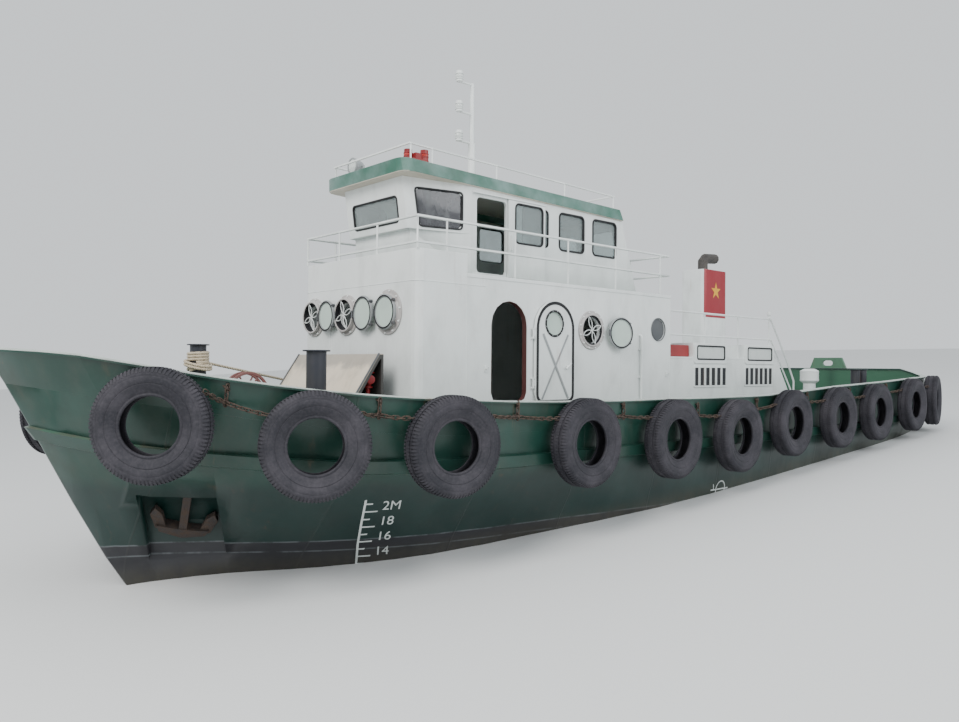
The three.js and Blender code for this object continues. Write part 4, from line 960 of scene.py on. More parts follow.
# %% Links, spans and eyes
CHAIN = {"bar": 0.0085, "pitch": 0.062, "straight": 0.0267, "wide": 0.046, "above": 0.350, "eye": 0.160,
         "off": 0.038, "sag": 0.012}


def link_shape():
    """An oval: a half circle at each end, joined by straight sides."""
    points = []
    for way in (1, -1):
        for k in range(5):
            x, y = polar(CHAIN["wide"] / 2, math.radians(-90 + 45 * k))
            points.append((way * (CHAIN["straight"] + x), way * y, 0))
    return pipe(points, CHAIN["bar"], 6, loop=True)


def sagging(start, end, steps=6):
    shares = [k / steps for k in range(steps + 1)]
    return [start.lerp(end, t) - UP * (CHAIN["sag"] * 4 * t * (1 - t)) for t in shares]


def off_tyre(at, out, way):
    """Where the chain leaves the tread."""
    return at + way * (TYRE["radius"] * 0.86) + UP * CHAIN["above"] - out * 0.06


def chain_lines(side):
    lines, eyes = [], []
    for (at, out, along), (next_at, next_out, next_along) in zip(TYRE_PLACES, TYRE_PLACES[1:]):
        start, end = off_tyre(at, out, -along), off_tyre(next_at, next_out, next_along)
        middle = start.lerp(end, 0.5)
        middle.y = side_y(middle.x, middle.z) + CHAIN["off"]
        height = middle.z + CHAIN["eye"]
        eye = Vector((middle.x, side_y(middle.x, height) + 0.030, height))
        lines += [sagging(start, middle), sagging(middle, end), [middle, eye]]
        eyes.append(eye)
    return [[on_side(p, side) for p in line] for line in lines], [on_side(p, side) for p in eyes]


def eye_shapes(eye, side):
    """A ring for the chain's end and the two legs that hold it to the bulwark."""
    wall, out = plating(eye.x, eye.z, side)
    flat = Vector((-out.y, out.x, 0)).normalized()
    shapes = []
    for way in (-1, 1):
        foot = wall + flat * (way * 0.034) - out * 0.004 - UP * (0.03 * way)
        shapes.append(bar(foot, eye + flat * (way * 0.012) + out * 0.012, 0.011, 8))
    return shapes + [band(0.012, 0.026, -0.008, 0.008, eye, flat, 16)]


chain_link = pattern("chain_link", [link_shape()])
for side_name, side in SIDES.items():
    lines, eyes = chain_lines(side)
    chain = repeated(f"fender_chain_{side_name}", links, line_host("chain_line", *lines), CHAIN_IRON,
                     "rusty_iron", Pitch=CHAIN["pitch"], Part=chain_link, Roll=90.0)
    piece(f"chain_eyes_{side_name}", CHAIN_IRON, [s for eye in eyes for s in eye_shapes(eye, side)],
          slot="rusty_iron")
    print(chain.name, len(chain.data.polygons), "faces")

# %% [markdown]
# ## Solids that only need a finish
# Many solids already have the right shape. Those stay: they get a finish, their loose triangles are welded
# by a modifier, and a narrow bevel breaks their edges. A solid whose roundness was drawn with few sides is
# copied instead, welded, shaded smooth, and the copy stands for it. The solid's own mesh is never touched.

# %% Keeping a solid, or standing a copy in for it
NEARLY_FLAT = 0.6


def kept(node, material, bevel=0.004):
    made = frame["nodes"][node]
    made.data.materials.clear()
    made.data.materials.append(material)
    weld = made.modifiers.new("weld", "WELD")
    weld.merge_threshold = SAME_CORNER
    flat = made.modifiers.new("flat_faces", "DECIMATE")
    flat.decimate_type, flat.angle_limit = "DISSOLVE", math.radians(NEARLY_FLAT)
    return bevelled(made, bevel)


def stand_in(node, name, material, bevel=0, slot=None, flatten=NEARLY_FLAT):
    work = welded(node)
    bmesh.ops.dissolve_limit(work, angle_limit=math.radians(flatten), verts=work.verts, edges=work.edges)
    mesh = bpy.data.meshes.new(name)
    work.to_mesh(mesh)
    work.free()
    return as_piece(name, tidy(mesh), material, frame["nodes"][node]["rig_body"], bevel, (node,), slot)


def outer_edge(node, side, inward, down, ends=0.03):
    """The outer top edge of a rail as a line of points from stern to bow, moved this far in and down."""
    work = welded(node)
    outward = {}
    for edge in work.edges:
        tops = [face for face in edge.link_faces if face.normal.z > 0.9]
        sides = [face for face in edge.link_faces if abs(face.normal.z) < 0.5 and face.normal.y * side > 0.2]
        if tops and sides:
            for vert in edge.verts:
                outward[vert] = outward.get(vert, Vector()) + Vector((*sides[0].normal.xy, 0))
    points = [LEVEL @ (vert.co - way.normalized() * inward) - UP * down for vert, way in outward.items()]
    work.free()
    points.sort(key=lambda point: point.x)
    for end, neighbour in ((0, 1), (-1, -2)):
        points[end] += (points[neighbour] - points[end]).normalized() * ends
    return points


print("solids:", len(frame["nodes"]))

# %% [markdown]
# ## Hull
# The hull is green above and black below, and the line between them lies level on the boat, not on the
# water, because she is trimmed. Two thin pale lines run along the black band. Near the water the plating
# carries a brown film. The plates sag a little between their frames and the butts are welded, which shows
# as faint upright lines. All of that is read from the height above the keel and the distance along the
# boat.

# %% Hull finishes
BOOT_TOP = 1.650
BOOT_LINES = (1.648, 1.500)
LINE_HALF = 0.013
FRAME_SPACING = 0.60
BUTT_SPACING = 1.80


def plates(finish, coat):
    """The plating's relief over any coat, and the dirt along its butts."""
    along = finish.part(finish.place, "X")
    butts = finish.ramp(finish.math("PINGPONG", along, BUTT_SPACING / 2), 0.016, 0.004)
    sag = finish.times(finish.math("PINGPONG", along, FRAME_SPACING / 2), 1 / FRAME_SPACING)
    uneven = finish.noise(1.1, (1, 1, 1.4), detail=2)
    body = finish.plus(finish.times(sag, 0.7), finish.times(uneven, 1.6))
    finish.relief(finish.plus(body, finish.times(butts, 0.25)), 0.012, 0.8)
    return finish.mix(finish.times(butts, 0.18), coat, (0.05, 0.05, 0.045))


def boot_top(finish, coat):
    """The black band below the green with its broken pale lines."""
    height = finish.height()
    ragged = finish.plus(height, finish.times(finish.noise(5, detail=5), 0.02))
    black = finish.mix(finish.noise(2.4, (1, 1, 3), detail=6), (0.010, 0.010, 0.014), (0.030, 0.031, 0.036))
    coat = finish.mix(finish.ramp(ragged, BOOT_TOP + 0.006, BOOT_TOP + 0.014), black, coat)
    broken = finish.ramp(finish.noise(3, (1, 1, 0.2), detail=5, offset=(9, 0, 0)), 0.35, 0.6)
    for level in BOOT_LINES:
        away = finish.math("ABSOLUTE", finish.math("SUBTRACT", height, level))
        stripe = finish.times(finish.ramp(away, LINE_HALF, LINE_HALF / 2), broken)
        coat = finish.mix(finish.times(stripe, 0.55), coat, (0.17, 0.19, 0.20))
    return coat


def wetted(finish, coat):
    """The brown film above the water and the growth below it."""
    above_water = finish.part(finish.afloat, "Z")
    film = finish.times(finish.ramp(above_water, 0.32, 0.0), finish.noise(7, (1, 1, 0.4), detail=6))
    coat = finish.mix(film, coat, (0.060, 0.056, 0.040))
    return finish.mix(finish.ramp(above_water, 0.0, -0.10, 0, 0.8), coat, (0.050, 0.055, 0.036))


def hull_finish(name, inner=None, side=0):
    finish = Finish(name)
    coat = wear(finish, HULL_GREEN, HULL_FADED, bleach=0.75, dirt=0.28, rust=0.30, chips=0.6, gloss=0.34)
    height = finish.height()
    below_strake = finish.times(finish.ramp(height, 2.60, 2.35), 0.60)
    coat = finish.mix(below_strake, coat, (0.004, 0.013, 0.015))
    coat = wetted(finish, boot_top(finish, coat))
    if inner:
        inward = finish.ramp(finish.times(finish.facing("Y"), side), 0.02, -0.02)
        coat = finish.mix(inward, coat, inner)
    else:
        on_deck = finish.times(finish.ramp(finish.facing("Z"), 0.80, 0.90), finish.ramp(height, 2.90, 2.95))
        trodden = finish.ramp(finish.noise(2.1, detail=7), 0.4, 0.65)
        coat = finish.mix(on_deck, coat, finish.mix(trodden, (0.065, 0.14, 0.10), (0.12, 0.10, 0.08)))
    return finish.done(plates(finish, coat))


def rail_cap_finish():
    """Hull green on the edge and pale on the faces that look up."""
    finish = Finish("rail_cap_paint")
    coat = wear(finish, HULL_GREEN, HULL_FADED, bleach=0.9, dirt=0.35, rust=0.45, chips=0.9)
    pale_top = finish.mix(finish.noise(2.3, detail=7), (0.38, 0.44, 0.41), (0.56, 0.59, 0.56))
    return finish.done(finish.mix(finish.ramp(finish.facing("Z"), 0.15, 0.50), coat, pale_top))


HULL_PAINT = hull_finish("hull_paint")
BULWARK_PAINT = {name: hull_finish(f"bulwark_paint_{name}", (0.045, 0.135, 0.080), side)
                 for name, side in SIDES.items()}
RAIL_CAP = rail_cap_finish()
PALE_EDGE = paint("pale_edge_paint", (0.46, 0.51, 0.48), (0.60, 0.63, 0.60), dirt=0.5, rust=0.5, chips=0.9,
                  gloss=0.6)
UNDERWATER = paint("underwater_paint", (0.028, 0.026, 0.026), (0.06, 0.065, 0.045), dirt=0.5, rust=0.4,
                   gloss=0.7)
print("hull finishes: plating, two bulwarks, cap rail, underwater")

# %% Hull pieces
# Curved plating keeps every edge that bends by more than this many degrees.
PLATE_FLAT = 0.1
stand_in("hull", "hull_plating", HULL_PAINT, slot="hull_paint", flatten=PLATE_FLAT)
for side_name, side in SIDES.items():
    for node, name, material, bevel, slot in (
            ("bulwark", "bulwark_plating", BULWARK_PAINT[side_name], 0, "hull_paint"),
            ("rub_strake", "strake", HULL_PAINT, 0.012, "hull_paint"),
            ("cap_rail", "capping", RAIL_CAP, 0.015, "white_paint")):
        stand_in(f"{node}_{side_name}", f"{name}_{side_name}", material, bevel, slot, PLATE_FLAT)
    edge = outer_edge(f"cap_rail_{side_name}", side, 0.004, 0.011)
    piece(f"capping_edge_{side_name}", PALE_EDGE, [pipe(edge, 0.010, 8)])
    kept(f"anchor_{side_name}", ANCHOR_IRON, 0.012)
kept("skeg", UNDERWATER, 0.012)
kept("rudder", UNDERWATER, 0.010)
print("hull plating, bulwarks, strakes and capping")

# %% [markdown]
# ## Marks on the bow
# The draught scale is painted on: an upright bar with a tick every ten centimetres and figures at every
# second one. The load mark further aft is a ring with a line through it. Paint has no thickness to speak
# of, but a mesh needs some, so the marks are thin sheets a millimetre or two proud. They are drawn flat,
# cut fine, and each corner is then moved in onto the plating, so that they bend with it.

# %% Marks bent onto the plating
MARK = {"proud": 0.003, "thick": 0.002, "cut_above": 0.05}


def onto_plating(mesh, origin, side):
    """Moves a flat drawing to the plating: its X runs forward and its Y up from the origin."""
    work = bmesh.new()
    work.from_mesh(mesh)
    bmesh.ops.triangulate(work, faces=work.faces)
    edges = [e for e in work.edges if e.calc_length() > MARK["cut_above"]]
    bmesh.ops.subdivide_edges(work, edges=edges, cuts=2, use_grid_fill=False)
    bmesh.ops.triangulate(work, faces=work.faces)
    for vertex in work.verts:
        wall, out = plating(origin[0] + vertex.co.x, origin[1] + vertex.co.y, side)
        vertex.co = wall + out * MARK["proud"]
    work.to_mesh(mesh)
    work.free()
    return mesh


def strip(start, end, width):
    a, b = Vector((*start, 0)), Vector((*end, 0))
    across = (b - a).normalized().cross(UP) * (width / 2)
    return [a - across, b - across, b + across, a + across], [(0, 1, 2, 3)]


def figures(text, size):
    """Plain block figures as a flat mesh."""
    curve = bpy.data.curves.new("figures", "FONT")
    curve.body, curve.size, curve.align_y = text, size, "CENTER"
    curve.resolution_u = 5
    mesh = baked(in_scene("figures", curve))
    return [v.co.copy() for v in mesh.vertices], [tuple(p.vertices) for p in mesh.polygons]


def flat_marks(name, shapes, origin, side):
    host = in_scene(name, onto_plating(rough_mesh(name, shapes), origin, side))
    solid = host.modifiers.new("thickness", "SOLIDIFY")
    solid.thickness, solid.offset = MARK["thick"], 0
    return floated(name, baked(host), MARKS, slot="white_paint")


SCALE_HEAD, SCALE_FOOT = (6.834, 2.227), (6.536, 1.257)
TICKS = {"top": 2.168, "apart": 0.111, "long": 0.165, "short": 0.090, "wide": 0.018}
FIGURES = (("2M", 2.129), ("18", 1.907), ("16", 1.679), ("14", 1.451))


def draught_scale(side):
    """Ticks run aft of the bar: long ones at even tenths with figures, and short ones between."""
    run, drop = SCALE_HEAD[0] - SCALE_FOOT[0], SCALE_HEAD[1] - SCALE_FOOT[1]
    slope = run / drop
    shapes = [strip((0, 0), (-run, -drop), 0.024)]
    for k in range(9):
        z = TICKS["top"] - TICKS["apart"] * k - SCALE_HEAD[1]
        reach = TICKS["long"] if k % 2 else TICKS["short"]
        shapes.append(strip((slope * z, z), (slope * z - reach, z), TICKS["wide"]))
    for text, z in FIGURES:
        low = z - SCALE_HEAD[1]
        drawn, faces = figures(text, 0.180)
        start = slope * low - TICKS["long"] - 0.045
        if side == STARBOARD:
            start -= max(p.x for p in drawn)
        shapes.append(([Vector((start - side * p.x + slope * p.y, low + p.y, 0)) for p in drawn], faces))
    return shapes


def ring_mark(radius, width, steps=40):
    points, faces = [], []
    for k in range(steps):
        points += [Vector((*polar(r, math.tau * k / steps), 0)) for r in (radius, radius - width)]
        after = (k + 1) % steps
        faces.append((2 * k, 2 * after, 2 * after + 1, 2 * k + 1))
    return points, faces


load_mark = [ring_mark(0.15, 0.022), strip((-0.240, 0), (0.290, 0), 0.022),
             strip((0.235, 0.100), (0.205, 0), 0.018)]
for side_name, side in SIDES.items():
    flat_marks(f"draught_scale_{side_name}", draught_scale(side), SCALE_HEAD, side)
    flat_marks(f"load_mark_{side_name}", load_mark, (-0.170, 1.760), side)
print("draught scales and load marks")

# %% [markdown]
# ## Inside the bulwark
# The bulwark is a thin plate, so brackets stand on the deck behind it and hold it up. Each is a triangular
# plate that fits between the deck, which is level, and the plating, which leans out more and more towards
# the bow. So every one has its own outline, read from the plating.

# %% Bulwark brackets
BULWARK_PLATE = 0.072
BRACKET = {"foot": 0.24, "head": 0.05, "thick": 0.010, "spacing": 0.90}


def deck_z(x):
    ahead, astern = max(0.0, x - 6.0) / 4.4, max(0.0, -5.8 - x) / 4.75
    return DECK + 0.65 * ahead ** 1.4 + 0.24 * astern


def bracket(x):
    """The head lies 0.1 m below the highest plating that the ray still meets."""
    low = deck_z(x) + 0.006
    top = low
    while side_y(x, top + 0.02):
        top += 0.02
    top -= 0.10
    foot_y, head_y = (side_y(x, z) - BULWARK_PLATE for z in (low + 0.02, top))
    toe = foot_y - BRACKET["foot"]
    outline = [(foot_y, low), (toe, low), (toe, low + 0.03), (head_y - BRACKET["head"], top), (head_y, top)]
    return slab(outline, "x", x, x + BRACKET["thick"])


rows = [x * BRACKET["spacing"] for x in range(-11, 10)]
for side_name, side in SIDES.items():
    brackets = [mirrored(bracket(x), side) for x in rows if side == PORT or not 3.9 < x < 5.6]
    piece(f"bulwark_brackets_{side_name}", PALE_GREEN, brackets, slot="green_paint")
    print("brackets to", side_name, "apart from those where the rope lies:", len(brackets))

# %% [markdown]
# ## Finishes that change over one solid
# Some solids carry two colours: the roof has a green fascia, a cream soffit and a pale top, the funnel is
# red on its upper sides and white elsewhere. A face's direction and the height above the keel are enough to
# tell those regions apart, so one finish covers the whole solid and no face needs its own slot.

# %% Two-colour finishes
def roof_finish():
    finish = Finish("roof_paint")
    fascia = wear(finish, (0.030, 0.130, 0.088), (0.19, 0.29, 0.27), bleach=1.0, dirt=0.25, rust=0.15)
    upward = finish.facing("Z")
    soffit = finish.mix(finish.noise(2, detail=6), (0.70, 0.64, 0.54), (0.56, 0.49, 0.40))
    coat = finish.mix(finish.ramp(upward, -0.25, -0.45), fascia, soffit)
    top = finish.mix(finish.noise(1.4, detail=7), (0.52, 0.56, 0.54), (0.34, 0.33, 0.29))
    return finish.done(finish.mix(finish.ramp(upward, 0.75, 0.9), coat, top))


def funnel_finish():
    finish = Finish("funnel_paint")
    white = wear(finish, HOUSE_WHITE, HOUSE_FADED, dirt=0.2)
    sideways = finish.ramp(finish.math("ABSOLUTE", finish.facing("Y")), 0.6, 0.8)
    level = finish.height()
    panel = finish.times(finish.ramp(level, 5.02, 5.04), finish.ramp(level, 6.125, 6.115))
    red = finish.mix(finish.noise(1.6, detail=5), (0.25, 0.009, 0.016), (0.33, 0.020, 0.032))
    return finish.done(finish.mix(finish.times(sideways, panel), white, red))


def deck_finish():
    finish = Finish("boat_deck_paint")
    edge = wear(finish, HOUSE_WHITE, HOUSE_FADED, dirt=0.2, rust=0.3, chips=0.4)
    top = finish.mix(finish.noise(1.9, detail=6), (0.050, 0.150, 0.095), (0.12, 0.20, 0.15))
    return finish.done(finish.mix(finish.ramp(finish.facing("Z"), 0.75, 0.9), edge, top))


def hood_finish():
    """Cream on the leaning plate, sooty along its head, and painted shade underneath and on the cut ends."""
    finish = Finish("hood_paint")
    cream = wear(finish, (0.66, 0.57, 0.45), (0.72, 0.66, 0.55), dirt=0.35, rust=0.35, gloss=0.55)
    ragged = finish.times(finish.noise(2.2, detail=6, offset=(4, 0, 2)), 0.45)
    head = finish.ramp(finish.plus(finish.height(), ragged), 4.02, 4.14)
    cream = finish.mix(finish.times(head, 0.6), cream, (0.20, 0.19, 0.18))
    # Painted shade: every face that does not look upward turns near-black.
    return finish.done(finish.mix(finish.ramp(finish.facing("Z"), 0.15, 0.35), (0.050, 0.048, 0.046), cream))


ROOF_PAINT, FUNNEL_PAINT = roof_finish(), funnel_finish()
DECK_PAINT, HOOD_PAINT = deck_finish(), hood_finish()
# Painted shade: a near-black for the insides of openings, where only shade is seen.
SHADED = paint("dark_inside_paint", (0.018, 0.019, 0.024), (0.03, 0.032, 0.038), dirt=0.2, rust=0.1,
               gloss=0.8)
# The jamb's own red, darkened as painted shade inside the doorway.
JAMB_RED_IN_SHADE = paint("red_lead_paint", (0.085, 0.022, 0.022), (0.13, 0.05, 0.045), dirt=0.4, rust=0.3, gloss=0.6)
WORN_WHITE = paint("worn_white_paint", (0.50, 0.48, 0.47), (0.40, 0.35, 0.34), dirt=0.45, rust=0.55,
                   chips=0.9)
DARK_GREY = paint("dark_grey_paint", (0.085, 0.092, 0.10), (0.15, 0.155, 0.16), dirt=0.4, rust=0.3, gloss=0.5)
SOOT = iron("sooted_steel", (0.045, 0.043, 0.042), (0.12, 0.11, 0.10), 7)
FROSTED = pane_glass("frosted_glass", (0.62, 0.74, 0.67), clear=0.2)
SMOKED = pane_glass("smoked_glass", (0.13, 0.13, 0.145), clear=0.5)
print("finishes that change over one solid: roof, funnel, boat deck, hood")


# %% Solids with their final finish
def both(*stems):
    return [f"{stem}_{side_name}" for stem in stems for side_name in SIDES]


for material, bevel, nodes in (
        (WHITE, 0.006, ["deckhouse_front", *both("deckhouse_side", "deckhouse_door"), "deckhouse_aft",
                        "wheelhouse_front", "engine_casing_top"]),
        (WHITE, 0.005, [*both("wheelhouse_side"), "wheelhouse_aft", "engine_casing_aft"]),
        (WHITE, 0.004, both("wheelhouse_door", "engine_casing_side")), (WHITE, 0.003, ["aft_ladder"]),
        (ROOF_PAINT, 0.014, ["wheelhouse_roof"]), (DECK_PAINT, 0.008, ["boat_deck"]),
        (FUNNEL_PAINT, 0.010, ["funnel"]), (HOOD_PAINT, 0.012, ["foredeck_hood"]),
        (GREY, 0.012, ["helm_console"]), (GREY, 0.004, ["floodlight"]), (GREY, 0.020, ["engine"]),
        (RED, 0.012, ["deck_box"]), (RED, 0.004, ["roof_lamps"]), (PALE_GREEN, 0.010, ["stern_chock"])):
    for node in nodes:
        kept(node, material, bevel)
for node in ("boat_deck_rail", "roof_rail", *both("casing_rail")):
    stand_in(node, node.replace("rail", "railing"), WHITE, slot="white_paint")
stand_in("mast", "signal_mast", WHITE, slot="white_paint")
stand_in("exhaust", "exhaust_pipe", SOOT, slot="rusty_iron")
print("finished solids")

# %% [markdown]
# ## Round windows
# A portlight is a ring bolted to the plating, with a glass in a second ring that swings on a hinge and is
# held shut by screw dogs. Where it hangs open, the hole behind is dark with painted shade and shows its
# grille: four curved bars that nearly meet in the middle. Every ring is a profile turned about the window's
# axis, and the bolts come from the ring tree.

# %% Parts of a portlight
FRONT_WALL, SIDE_WALL = 5.630, 1.530
FLANGE = 0.022
FLANGE_BOLT = [(0.016, -0.004), (0.016, 0.007), (0.011, 0.011), (0.011, 0.018)]
SMALL_BOLT = [(0.009, 0), (0.009, 0.006), (0.006, 0.008)]


def bolts_round(name, at, out, radius, count, material=WHITE, body="tug", bolt=FLANGE_BOLT):
    """Bolts in a circle that faces a direction."""
    u, v = square_to(out)
    flat = Matrix((u, v, Vector(out))).transposed().to_4x4()
    flat.translation = at
    host = in_scene(name, bpy.data.meshes.new(name))
    part = pattern(f"{name}_bolt", [turned(bolt, (radius, 0, 0), sides=6)])
    return floated(name, ring.grow(host, Count=count, Part=part, Finish=material), material, body, turn=flat)


def grille(at, out, radius):
    """Four bars, each a half circle that bulges to the middle between two feet on the ring."""
    u, v = square_to(out)
    bars = []
    for k in range(4):
        middle = math.radians(20 + 90 * k)
        centre = at + (u * math.cos(middle) + v * math.sin(middle)) * radius * 0.76
        angles = [middle + math.pi + math.radians(-88 + 176 * j / 12) for j in range(13)]
        line = [centre + (u * math.cos(a) + v * math.sin(a)) * radius * 0.70 for a in angles]
        bars.append(pipe(line, 0.0072, 8))
    return bars


def frame_ring(at, out, inner, outer, proud):
    """The fixed ring: a flange on the plating and, for a deep window, a sleeve that stands out from it."""
    sleeve = min(outer, inner + 0.028)
    profile = [(inner, 0.002), (outer, 0.002), (outer, FLANGE - 0.006), (outer - 0.006, FLANGE)]
    if proud > FLANGE:
        profile += [(sleeve + 0.010, FLANGE), (sleeve, FLANGE + 0.010), (sleeve, proud - 0.006),
                    (sleeve - 0.006, proud), (inner + 0.004, proud), (inner, proud - 0.004)]
    else:
        profile += [(inner + 0.010, FLANGE), (inner, FLANGE - 0.010)]
    return turned(profile, at, out, loop=True)


def lining(at, out, hole, inner, proud):
    """The window's inside in painted shade: the sleeve's bore and the ledge round the hole in the plate."""
    bore, ledge, end = inner - 0.001, hole - 0.004, proud - 0.010
    profile = [(ledge, 0.003), (bore, 0.003), (bore, end), (bore - 0.003, end), (bore - 0.003, 0.006),
               (ledge, 0.006)]
    return turned(profile, at, out, loop=True)


def glass_leaf(name, at, out, radius, hinge):
    """A glass in its ring, with its hinge in the hinge direction and two dogs across from it."""
    out, hinge = Vector(out).normalized(), Vector(hinge)
    up = out.cross(hinge)
    profile = [(radius - 0.045, -0.016), (radius, -0.016), (radius, 0.012), (radius - 0.012, 0.020),
               (radius - 0.040, 0.020), (radius - 0.045, 0.012)]
    knuckle = at + hinge * (radius + 0.022)
    fittings = [bar(knuckle - up * 0.055, knuckle + up * 0.055, 0.018, 12)]
    for across in (-0.042, 0.042):
        a = at + hinge * (radius - 0.02) + up * across
        fittings.append(bar(a, a + hinge * 0.06, 0.013, 10))
    for turn in (-38, 38):
        x, y = polar(radius + 0.012, math.radians(turn))
        dog = at - hinge * x + up * y
        fittings.append(bar(dog - out * 0.018, dog + out * 0.02, 0.024, 12))
        fittings.append(bar(dog + out * 0.018, dog + out * 0.05, 0.010, 8))
    piece(f"{name}_leaf", GREY, [turned(profile, at, out, loop=True)])
    piece(f"{name}_dogs", DARK_GREY, fittings)
    piece(f"{name}_seal", SEAL_RUBBER, [band(radius - 0.036, radius - 0.014, 0.0205, 0.025, at, out)],
          slot="rubber_seal")
    pane = turned([(radius - 0.043, -0.006), (radius - 0.043, 0.006)], at, out)
    piece(f"{name}_glass", FROSTED, [pane], slot="glass")


def portlight(row, which, at, out, sizes, bolts, hole=None, bars=()):
    """The fixed parts. Where the glass hangs open, the hole shows its lining in painted shade and its grille.
    """
    inner, outer, proud = sizes
    piece(f"{row}_{which}", WORN_WHITE, [frame_ring(at, out, inner, outer, proud)], bevel=0.003)
    if hole:
        off, radius = bars
        # Painted shade: the lining is near-black for the dark hole behind an open glass.
        piece(f"{row}_lining_{which}", SHADED, [lining(at, out, hole, inner, proud)])
        piece(f"{row}_grille_{which}", WHITE, grille(at + out * off, out, radius))
    bolts_round(f"{row}_bolts_{which}", at + out * FLANGE, out, *bolts)


# %% Portlights of the sides and the front
for side_name, side in SIDES.items():
    out = Vector((0, side, 0))
    at = Vector((1.920, SIDE_WALL * side, 4.500))
    portlight("side_portlight", side_name, at, out, (0.250, 0.330, 0.040), (0.306, 12), 0.225,
              (FLANGE, 0.240))
    open_at = at + Vector((-0.660, 0.115 * side, -0.03))
    glass_leaf(f"side_portlight_{side_name}", open_at, (0.16, side, 0), 0.275, FORWARD)
    far = Vector((0.020, SIDE_WALL * side, 4.580))
    disc = turned([(0.196, -0.05), (0.196, -0.012), (0.180, -0.006)], far, out)
    narrow = frame_ring(far, out, 0.200, 0.216, 0.006)
    piece(f"aft_portlight_{side_name}", DARK_GREY, [disc, narrow], bevel=0.002)

for name, y, hole, beside, leaf_radius in (("starboard", -1.200, 0.190, 0.50, 0.250),
                                           ("middle", -0.230, 0.200, 0.56, 0.265)):
    at = Vector((FRONT_WALL, y, 4.650))
    portlight("front_portlight", name, at, FORWARD, (0.235, 0.315, 0.085), (0.294, 10), hole, (0.066, 0.226))
    open_at = at + Vector((0.090, beside, 0))
    glass_leaf(f"front_portlight_{name}", open_at, (1, -0.04, 0), leaf_radius, (0, -1, 0))
at = Vector((FRONT_WALL, 0.870, 4.650))
portlight("front_portlight", "port", at, FORWARD, (0.235, 0.330, 0.050), (0.305, 10))
glass_leaf("front_portlight_port", at + Vector((0.072, 0, 0)), FORWARD, 0.258, (0, -1, 0))
print("round windows on the front: 3, on each side: 2")

# %% [markdown]
# ## Steel doors
# The open leaf shows its inner face: a rubber strip round the rim that presses on the coaming, a round
# window in a bolted ring, two flat bars across the plate that stiffen it, and a lever. The strip is thin,
# so that the closed leaf still clears the wall, and the rest sits where the doorway is when the leaf is
# shut.

# %% Deckhouse doors
LEAF = (2.420, 3.320, 3.290, 4.935)
LEAF_FACE = 1.595
DOORWAY = (3.460, 4.220, 3.330, 4.880)
DOOR_LIGHT = {"x": 2.900, "z": 4.570}


def arch_line(x0, x1, z0, z1, inset=0.0, foot=0.15):
    """Round foot corners and a half-round head, as many points for any inset."""
    u0, u1, v0 = x0 + inset, x1 - inset, z0 + inset
    head, foot = (u1 - u0) / 2, max(foot - inset, 0.02)
    return (arc((u1 - foot, v0 + foot), foot, -90, 0, 6)
            + arc((u0 + head, z1 - inset - head), head, 0, 180, 20)
            + arc((u0 + foot, v0 + foot), foot, 180, 270, 6))


def flat_bar(a, b, width, y0, y1):
    """A flat bar between two (x, z) points."""
    start, end = Vector(a), Vector(b)
    along = (end - start).normalized()
    across = Vector((-along.y, along.x)) * (width / 2)
    return slab([start - across, end - across, end + across, start + across], "y", y0, y1)


DOOR = "deckhouse_door_{}"
handle = LEAF_FACE + 0.034
pair("door_seal", SEAL_RUBBER, [
    rim(arch_line(*LEAF, 0.008), arch_line(*LEAF, 0.058), "y", LEAF_FACE + 0.0005, LEAF_FACE + 0.009)],
     DOOR, bevel=0.003, slot="rubber_seal")
pair("door_braces", GREY, [
    flat_bar((2.575, 4.40), (3.180, 3.365), 0.034, LEAF_FACE + 0.0005, LEAF_FACE + 0.007),
    flat_bar((3.165, 4.40), (2.570, 3.365), 0.034, LEAF_FACE + 0.0075, LEAF_FACE + 0.014)], DOOR, bevel=0.002)
pair("door_lever", WHITE, [
    bar((2.580, LEAF_FACE, 3.885), (2.580, LEAF_FACE + 0.046, 3.885), 0.020),
    bar((2.650, handle, 3.845), (2.525, handle, 3.935), 0.018, 12, 0.012)], DOOR, bevel=0.002)
light, outward = (DOOR_LIGHT["x"], LEAF_FACE, DOOR_LIGHT["z"]), (0, 1, 0)
pair("door_light_ring", SEAL_RUBBER, [
    turned([(0.184, 0.0005), (0.218, 0.0005), (0.218, 0.010), (0.188, 0.014), (0.184, 0.010)], light, outward,
           loop=True),
    band(0.186, 0.232, -0.0505, -0.058, light, outward)], DOOR, bevel=0.002)
pair("door_light", FROSTED, [turned([(0.191, -0.030), (0.191, -0.020)], light, outward)], DOOR, slot="glass")
# The jamb is red with painted shade over it.
pair("door_jamb", JAMB_RED_IN_SHADE, [
    rim(arch_line(*DOORWAY, 0.007), arch_line(*DOORWAY, 0.011), "y", SIDE_WALL - 0.095, SIDE_WALL - 0.003)])
for side_name, side in SIDES.items():
    at = (DOOR_LIGHT["x"], (LEAF_FACE + 0.012) * side, DOOR_LIGHT["z"])
    bolts_round(f"door_light_bolts_{side_name}", at, (0, side, 0), 0.203, 12, GREY, DOOR.format(side_name),
                SMALL_BOLT)
print("deckhouse doors: seal, braces, lever, light, jamb")

# %% [markdown]
# ## Small fittings on the house
# The plates of the house meet in welds that stand out as thin beads. A pipe runs down the port side from a
# bend in the wall, held by clips. Hooks hold the doors back.

# %% Weld beads, pipe and hooks
def bead(*points):
    return pipe(points, 0.006, 6)


